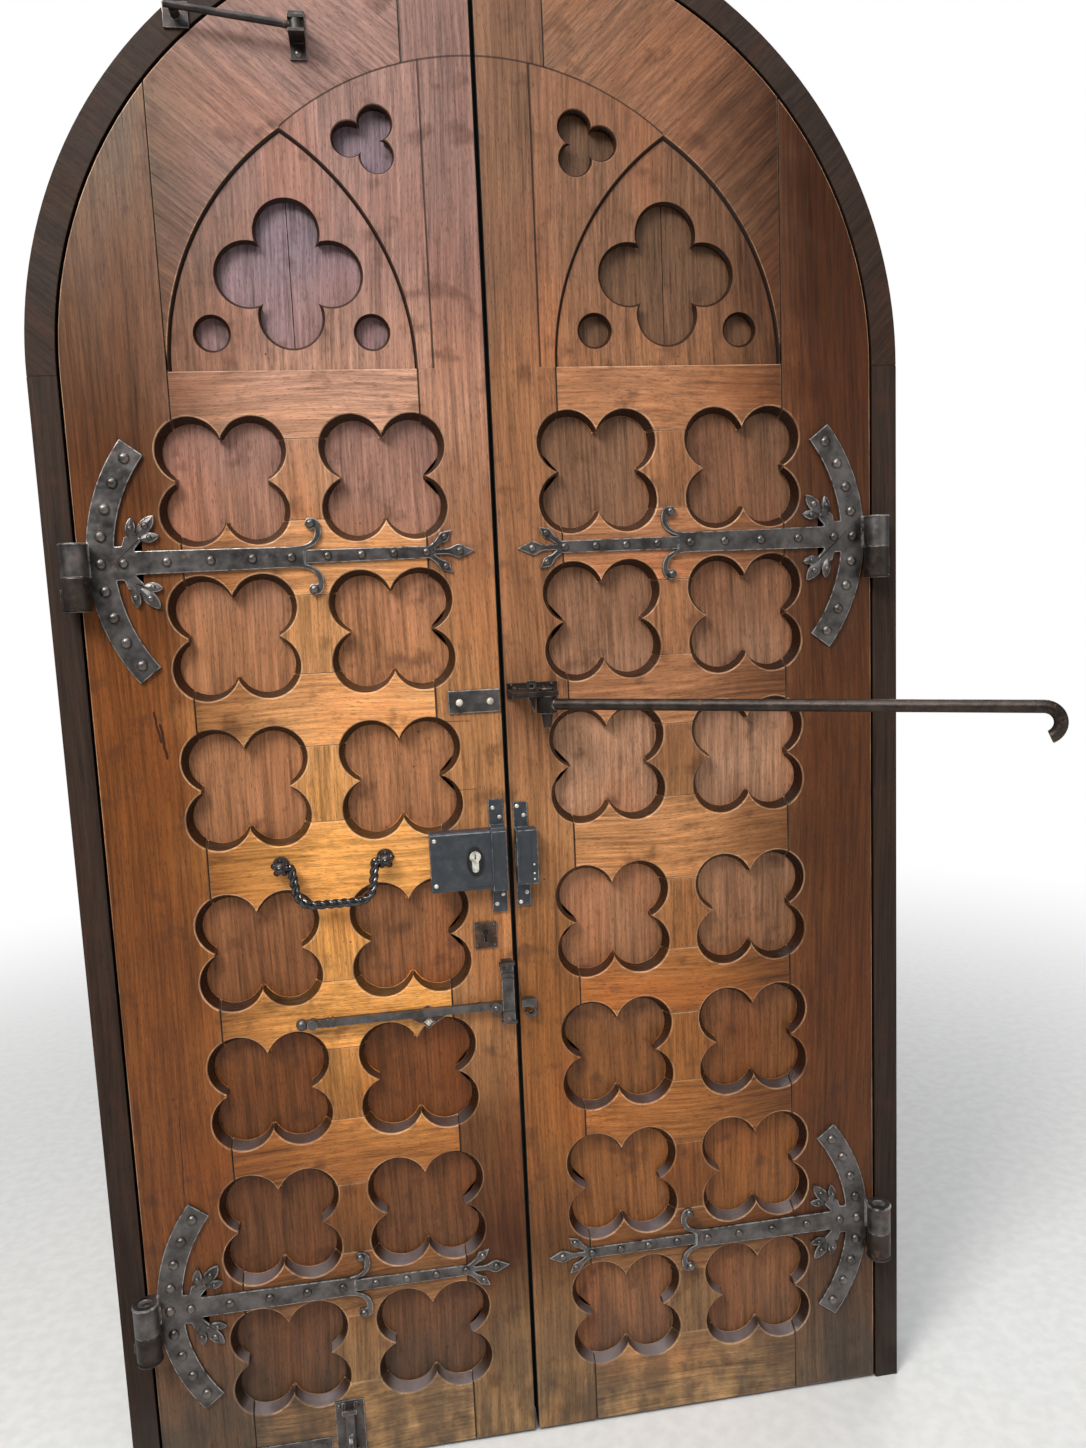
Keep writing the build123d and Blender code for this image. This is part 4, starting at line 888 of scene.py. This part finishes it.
def dress_strap(side, level):
    """Rivets, ridged leaves and curl balls of one strap hinge."""
    sign = -1 if side == "left" else 1
    body = f"{side}_leaf"
    z0 = STRAP_LEVELS[level]
    studs = Sculpt(f"strap_{level}_{side}_rivets", body, "iron_stud", "forged_iron", seed=z0 + sign)
    centre_x = CRESCENT_MIDDLE_X - CRESCENT_RADIUS
    for n in range(-4, 5):
        turn = radians(CRESCENT_RIVET_STEP * n)
        x, z = centre_x + CRESCENT_RADIUS * cos(turn), z0 + CRESCENT_RADIUS * sin(turn)
        studs.dome(sign * x, z, STRAP_THICKNESS, CRESCENT_RIVET_RADIUS, 5.6)
    for x in STRAP_RIVETS:
        studs.dome(sign * x, z0, STRAP_THICKNESS, STRAP_RIVET_RADIUS, 5.0)
    for x in TAIL_RIVETS:
        studs.dome(sign * x, z0, STRAP_TAIL_THICKNESS, TAIL_RIVET_RADIUS, 4.6)
    for x, z, radius in FLEUR_RIVETS:
        studs.dome(sign * x, z0 + z, STRAP_TAIL_THICKNESS, radius, 4.4)
    leaves = Sculpt(f"strap_{level}_{side}_leaves", body, "iron", "forged_iron", seed=z0)
    for up in (-1, 1):
        studs.dome(sign * SCROLL_BALL[0], z0 + up * SCROLL_BALL[1], STRAP_THICKNESS - 0.6, 7.0, 6.6)
        hub_x, hub_z = SPRAY_HUB[0], z0 + up * SPRAY_HUB[1]
        for (root_x, root_z), (tip_x, tip_z), half_width in SPRAY_LEAVES:
            root = (sign * (hub_x + root_x), hub_z + up * root_z)
            tip = (sign * (hub_x + tip_x * 0.98), hub_z + up * tip_z * 0.98)
            leaves.leaf(root, tip, half_width, STRAP_THICKNESS - 0.5, 3.4)
            ball_x, ball_z = (root[n] + (tip[n] - root[n]) * 0.52 for n in range(2))
            studs.dome(ball_x, ball_z, STRAP_THICKNESS + 1.2, half_width * 0.64, 4.4)
    studs.done()
    leaves.done()


def handle_path():
    """Centre line of the drop handle, with rounded lower bends."""
    low = HANDLE_Z - HANDLE_DROP
    left = HANDLE_ENDS[0] + HANDLE_INSET
    right = HANDLE_ENDS[1] - HANDLE_INSET
    corners = [
        (left, HANDLE_Z), (left + HANDLE_SPLAY, low),
        (right - HANDLE_SPLAY, low), (right, HANDLE_Z),
    ]
    route = [corners[0]]
    for before, corner, after in zip(corners, corners[1:], corners[2:]):
        corner = Vector(corner)
        back = (Vector(before) - corner).normalized()
        on = (Vector(after) - corner).normalized()
        half = back.angle(on) / 2
        setback = HANDLE_BEND / tan(half)
        centre = corner + (back + on).normalized() * HANDLE_BEND / sin(half)
        start = corner + back * setback - centre
        end = corner + on * setback - centre
        turn = start.angle_signed(end)
        for n in range(BEND_STEPS + 1):
            part = start.copy()
            part.rotate(Matrix.Rotation(-turn * n / BEND_STEPS, 2))
            route.append(tuple(centre + part))
    route.append(corners[-1])
    return even([point(x, HANDLE_STANDOFF, z) for x, z in route], ROPE_STEP)


def even(points, step):
    """The same path with points about a step in millimetres apart."""
    lengths = [0.0]
    for a, b in zip(points, points[1:]):
        lengths.append(lengths[-1] + (b - a).length)
    count = int(lengths[-1] / MM / step)
    result = []
    k = 0
    for n in range(count + 1):
        goal = lengths[-1] * n / count
        while k < len(lengths) - 2 and lengths[k + 1] < goal:
            k += 1
        share = (goal - lengths[k]) / (lengths[k + 1] - lengths[k])
        result.append(points[k].lerp(points[k + 1], share))
    return result


def rope_section(run, points=30):
    """Outline of three strands side by side, turned as the rope is laid."""
    twist = -2 * pi * run / ROPE_LAY
    outline = []
    for n in range(points):
        angle = 2 * pi * n / points
        reach = 0.0
        for strand in range(ROPE_STRANDS):
            off = angle - twist - 2 * pi * strand / ROPE_STRANDS
            inside = ROPE_STRAND_RADIUS**2 - (ROPE_STRAND_OFFSET * sin(off)) ** 2
            if inside > 0:
                reach = max(reach, ROPE_STRAND_OFFSET * cos(off) + sqrt(inside))
        outline.append((reach * cos(angle), reach * sin(angle)))
    return outline


def dress_handle():
    rope = Sculpt("handle_rope", "handle", "polished", "forged_iron")
    rope.tube(handle_path(), rope_section)
    for x, toward in ((HANDLE_ENDS[0], HANDLE_INSET), (HANDLE_ENDS[1], -HANDLE_INSET)):
        end = point(x + toward, HANDLE_STANDOFF, HANDLE_Z)
        profile = [(3.0, -5.8), (5.2, -3.6), (6.0, -0.5), (5.6, 2.4), (3.4, 5.0)]
        rope.lathe(end, (0, 0, 1), profile, 16)
        profile = [(4.0, 0), (4.0, abs(toward))]
        rope.lathe(end, (-toward, 0, 0), profile, 14)
    rope.done(replaces=["handle_bail"])
    studs = Sculpt("handle_rosette_beads", "left_leaf", "polished", "forged_iron", seed=7)
    bead = [(2.0, -4.6), (4.4, -2.4), (5.0, 0.2), (4.3, 2.7), (2.2, 4.5)]
    button = [(5.6, 0.0), (5.2, 1.4), (3.6, 3.2), (1.4, 4.0)]
    for x in HANDLE_ENDS:
        for n in range(ROSETTE_BEADS):
            turn = radians(90 + 360 / ROSETTE_BEADS * n)
            bead_x = x + ROSETTE_RADIUS * cos(turn)
            bead_z = HANDLE_Z + ROSETTE_RADIUS * sin(turn)
            origin = point(bead_x, HANDLE_STANDOFF - 5, bead_z)
            studs.lathe(origin, (0, -1, 0), bead, 14, 0.03)
        origin = point(x, HANDLE_STANDOFF + 6.6, HANDLE_Z)
        studs.lathe(origin, (0, -1, 0), button, 14, 0.03)
    studs.done()


def oval(cx, cz, half_width, half_height, count=40):
    turns = [2 * pi * n / count for n in range(count)]
    return [(cx + half_width * cos(turn), cz + half_height * sin(turn)) for turn in turns]


def ring_plate(sculpt, outer, inner, base, top):
    """Flat ring between two outlines with the same number of points."""
    levels = ((outer, base), (outer, top - 0.6), (outer, top), (inner, top), (inner, base))
    rings = []
    for outline, height in levels:
        rings.append([sculpt.bm.verts.new(point(x, height, z)) for x, z in outline])
    sculpt.skin(rings + rings[:1], capped=False)


def rectangle(x_low, x_high, z_low, z_high):
    return [(x_low, z_low), (x_high, z_low), (x_high, z_high), (x_low, z_high)]


def place_heads(name, body, paint, slot, seed, heads):
    """Rivets or screws. Each head: (x, z), the plate's face, the head's radius and rise, and where
    they differ from the usual ones its unevenness and its button's share of the radius."""
    studs = Sculpt(name, body, paint, slot, seed)
    for (x, z), *form in heads:
        studs.dome(x, z, *form)
    studs.done()


def place_strips(name, body, paint, slot, strips):
    """Raised strips. Each strip: (x low, x high, z low, z high), its base, top and slope."""
    piece = Sculpt(name, body, paint, slot)
    for edges, *form in strips:
        piece.slab(rectangle(*edges), *form)
    piece.done()


LOCK_FACE = 24
LOCK_Z = 988
CYLINDER_PLACE = (-57, 987)
EAR_SCREWS = ((-5, 76), (5, 61), (5, -61), (-5, -76))
EAR_SCREW_HEAD = (4, 3.4, 2.2, 0.01)
LEFT_EAR_X = -19.5
RIGHT_EAR_X = 18


def dress_lock():
    """Escutcheon, pale rims as painted highlights, rivets and screws of the rim lock and its
    keeper.
    """
    ring = Sculpt("lock_escutcheon", "left_leaf", "hole", "black_lock")
    outer = oval(*CYLINDER_PLACE, 13, 22.5)
    inner = oval(*CYLINDER_PLACE, 9.2, 17.2)
    ring_plate(ring, outer, inner, LOCK_FACE - SUNK, LOCK_FACE + 3.0)
    ring.done()
    place_strips("lock_trim", "left_leaf", "lock", "black_lock", (
        ((-124, -33, 943.5, 946.5), LOCK_FACE - SUNK, LOCK_FACE + 1.0, 0.4),
        ((-30.5, -28.5, 947, 1029), LOCK_FACE + 3.6, LOCK_FACE + 4.8, 0.4),
    ))
    # Painted highlight: pale strips along the top edges of the case and its band.
    place_strips("lock_highlight_rim", "left_leaf", "lock_highlight_rim", "black_lock", (
        ((-124, -33, 1030.2, 1032.2), LOCK_FACE - SUNK, LOCK_FACE + 0.9, 0.3),
        ((-29, -9, 1030.6, 1032.0), LOCK_FACE + 3.6, LOCK_FACE + 4.6, 0.3),
    ))
    heads = [((-118, z), LOCK_FACE, 3.4, 2.4, 0.01) for z in (1023, 953)]
    heads += [((x + LEFT_EAR_X, LOCK_Z + z), *EAR_SCREW_HEAD) for x, z in EAR_SCREWS]
    place_heads("lock_rivets", "left_leaf", "nickel", "nickel", 3, heads)
    heads = [((x + RIGHT_EAR_X, LOCK_Z + z), *EAR_SCREW_HEAD) for x, z in EAR_SCREWS]
    heads += [((33, z), LOCK_FACE + 3.5, 1.7, 1.2, 0.01) for z in (976, 962, 953)]
    place_heads("keeper_rivets", "right_leaf", "nickel", "nickel", 4, heads)
    place_strips("keeper_lip", "right_leaf", "lock", "black_lock", (
        ((8, 12, 948, 1028), LOCK_FACE + 3.2, LOCK_FACE + 5.0, 0.6),
        ((29.5, 31, 948, 1028), LOCK_FACE + 3.2, LOCK_FACE + 4.4, 0.4),
    ))


ROSE_PLACE = (-141, 734)
KEYHOLE_X = -44.5
KEYHOLE_Z = 867.5
LATCH_PIN = ((-36, 751), 27, 5.4, 3.4, 0.035, 0.34)
HEAD_STAY_X = -242.3
HEAD_STAY_Z = 2165.9
STAY_BOLT_Z = 1245.5


def dress_small_iron():
    """Heads, bands and knobs on the plates of both leaves."""
    heads = [((x, 1229), 4, 5.6, 3.6) for x in (-67, -20)]
    place_heads("hasp_rivets", "left_leaf", "cream", "nickel", 11, heads)

    nut = Sculpt("latch_rose_nut", "left_leaf", "cream", "forged_iron", seed=15)
    x, z = ROSE_PLACE
    nut.lathe(point(x, 3, z), (0, -1, 0), [(7.4, -SUNK), (7.4, 4.2), (6.4, 5.0)], 4)
    nut.lathe(point(x, 8, z), (0, -1, 0), [(3.6, -SUNK), (3.4, 2.0), (2.0, 3.2)], 12)
    nut.done()

    # Painted shade: a black sheet under the keyhole's cut stands for the dark inside the lock.
    keyhole = Sculpt("keyhole_shade", "left_leaf", "hole", "forged_iron")
    keyhole.slab(oval(KEYHOLE_X, KEYHOLE_Z, 4.45, 4.45, 24), 0.02, 0.5)
    slot = rectangle(KEYHOLE_X - 2.4, KEYHOLE_X + 2.4, 851.1, KEYHOLE_Z - 0.5)
    keyhole.slab(slot, 0.02, 0.45)
    keyhole.done()

    heads = [((x, z), 3, 2.6, 1.8) for x in (-58, -31) for z in (846.5, 879.5)]
    heads += [((-15.5, 813), 19, 4.2, 2.6), ((-15.5, 729), 19, 4.0, 2.4)]
    heads += [((x, 741), 3, 2.4, 1.8) for x in (-164, -118)]
    heads += [LATCH_PIN]
    heads += [((x, z), 3, 3.4, 2.2) for z in (103, 24) for x in (-320, -286)]
    heads += [((x, 40), 3, 3.2, 2.0) for x in (-452, -398, -345)]
    place_heads("plate_pins", "left_leaf", "iron_stud", "forged_iron", 12, heads)

    strips = [((-25.6, -5.4, z, z + 3.4), 18.6, 20.4, 0.7) for z in (801, 793, 739)]
    strips += [((-28, -3, low, high), 15, 21, 1.2) for low, high in ((816, 822), (722, 727))]
    place_strips("latch_guide_bands", "left_leaf", "iron", "forged_iron", strips)
    strips = [((x, x + 3.6, 744.2, 757.8), 6.4, 16.4, 0.8) for x in (-296, -288, -62)]
    place_strips("latch_bar_bands", "latch_bar", "iron", "forged_iron", strips)

    heads = [((HEAD_STAY_X, HEAD_STAY_Z + z), 4, 5.0, 2.6, 0.035, 0.3) for z in (24, -24)]
    place_heads("head_stay_screws", "left_leaf", "iron_stud", "forged_iron", 13, heads)

    stay = Sculpt("stay_bolts", "right_leaf", "rusty", "rusty_iron", seed=14)
    for x in (14, 76):
        stay.dome(x, 1250, 4, 4.2, 3.0)
        stay.dome(x, 1234, 4, 3.6, 2.6)
    bolt = [(5.4, -SUNK), (5.4, 2.2), (3.8, 4.0), (1.4, 4.8)]
    for x, height in ((16, 18), (60, 24)):
        stay.lathe(point(x, height, STAY_BOLT_Z), (0, 0, 1), bolt, 6)
    stay.done()


KNUCKLE_JOINT = -18
RING_PROFILE = [(18.6, 0), (20.2, 0.8), (20.4, 1.8), (18.6, 2.8)]


def knuckle_rings():
    """Raised rings on the leaf's eye and on the pintle's collar, above and below their joint."""
    for side, sign in (("left", -1), ("right", 1)):
        eye = Sculpt(f"eye_rings_{side}", f"{side}_leaf", "iron_edge", "forged_iron", seed=21)
        collar = Sculpt(f"collar_rings_{side}", "frame", "rusty", "rusty_iron", seed=22)
        for level in STRAP_LEVELS.values():
            for off, sculpt in ((44.5, eye), (-46.0, collar)):
                z = level + KNUCKLE_JOINT + off
                place = point(sign * DOOR_HALF_WIDTH, HINGE_AXIS_HEIGHT, z)
                sculpt.lathe(place, (0, 0, 1), RING_PROFILE, 32)
        eye.done()
        collar.done()


def floor():
    """Pale floor that fades to white away from the door, so that it has no edge."""
    paint = Paint("pale_floor")
    grain = paint.noise(paint.place, 40.0, detail=2.0)
    colour = paint.mix(paint.span(grain, 0.3, 0.7), srgb(224, 222, 218), srgb(232, 230, 226))
    material = paint.finish(colour, 0.85, paint.bump(grain, 0.04, 0.001))
    reach = paint.add("ShaderNodeVectorMath", operation="LENGTH")
    paint.feed(reach, 0, paint.place)
    seen = paint.add("ShaderNodeLightPath").outputs["Is Camera Ray"]
    fade = paint.times(paint.span(reach.outputs["Value"], 1.2, 4.0), seen)
    glow = paint.add("ShaderNodeEmission")
    blend = paint.add("ShaderNodeMixShader")
    paint.feed(blend, 0, fade)
    paint.feed(blend, 1, paint.shader.outputs[0])
    paint.feed(blend, 2, glow.outputs[0])
    paint.feed(paint.tree.nodes["Material Output"], "Surface", blend.outputs[0])
    bm = bmesh.new()
    bmesh.ops.create_grid(bm, x_segments=2, y_segments=2, size=14)
    mesh = bpy.data.meshes.new("floor")
    bm.to_mesh(mesh)
    bm.free()
    mesh.materials.append(material)
    obj = new_object("floor", mesh)
    obj.location = (0, 0, -0.0005)


def studio():
    """Soft light from above left, a weaker one from the right, and white surroundings."""
    # Each lamp's place, aim, size, power and colour
    lamps = {
        "key": ((-1.7, -2.0, 3.6), (0.1, 0.0, 0.9), 1.3, 112, (1.0, 0.98, 0.95)),
        "fill": ((2.6, -2.6, 1.5), (0.0, 0.0, 0.9), 2.6, 16, (1.0, 0.97, 0.93)),
        "sky": ((-0.6, -3.4, 4.6), (0.0, 0.0, 1.6), 3.2, 64, (0.90, 0.94, 1.0)),
        "zenith": ((0.1, -0.5, 4.4), (0.1, -0.3, 0.0), 2.4, 50, (0.88, 0.92, 1.0)),
        "back": ((2.4, 2.6, 2.8), (0.0, 0.0, 1.3), 2.0, 40, (1.0, 1.0, 1.0)),
    }
    for name, (place, aim, size, power, colour) in lamps.items():
        light = bpy.data.lights.new(name, "AREA")
        light.shape = "DISK"
        light.size = size
        light.energy = power
        light.color = colour
        lamp = new_object(name, light)
        lamp.location = place
        lamp.rotation_euler = (Vector(aim) - Vector(place)).to_track_quat("-Z", "Y").to_euler()
    world = bpy.data.worlds.new("studio")
    world.use_nodes = True
    bpy.context.scene.world = world
    nodes, links = world.node_tree.nodes, world.node_tree.links
    light = nodes["Background"]
    light.inputs["Color"].default_value = (0.90, 0.95, 1.0, 1.0)
    light.inputs["Strength"].default_value = 0.22
    white = nodes.new("ShaderNodeBackground")
    white.inputs["Color"].default_value = (1.0, 1.0, 1.0, 1.0)
    white.inputs["Strength"].default_value = 1.0
    path = nodes.new("ShaderNodeLightPath")
    blend = nodes.new("ShaderNodeMixShader")
    links.new(path.outputs["Is Camera Ray"], blend.inputs[0])
    links.new(light.outputs[0], blend.inputs[1])
    links.new(white.outputs[0], blend.inputs[2])
    links.new(blend.outputs[0], nodes["World Output"].inputs[0])


def camera():
    """Camera at the photo's place, aimed by azimuth, pitch and roll."""
    azimuth, pitch, roll = (radians(a) for a in (CAMERA_AZIMUTH, CAMERA_PITCH, CAMERA_ROLL))
    forward = Vector((sin(azimuth) * cos(pitch), cos(azimuth) * cos(pitch), sin(pitch)))
    level = forward.cross(Vector((0, 0, 1))).normalized()
    upright = level.cross(forward)
    right = level * cos(roll) + upright * sin(roll)
    up = upright * cos(roll) - level * sin(roll)
    data = bpy.data.cameras.new("camera")
    data.sensor_width = 36
    data.lens = PHOTO_FOCAL_PX * 36 / PHOTO_HEIGHT_PX
    data.clip_start = 0.02
    obj = new_object("camera", data)
    turn = Matrix((right, up, -forward)).transposed().to_4x4()
    obj.matrix_world = Matrix.Translation(CAMERA_PLACE) @ turn
    bpy.context.scene.camera = obj


dress_timber()
dress_metal()
for strap_side in ("left", "right"):
    for strap_level in STRAP_LEVELS:
        dress_strap(strap_side, strap_level)
dress_handle()
dress_lock()
dress_small_iron()
knuckle_rings()
floor()
studio()
camera()
bpy.context.scene.view_settings.view_transform = "Standard"
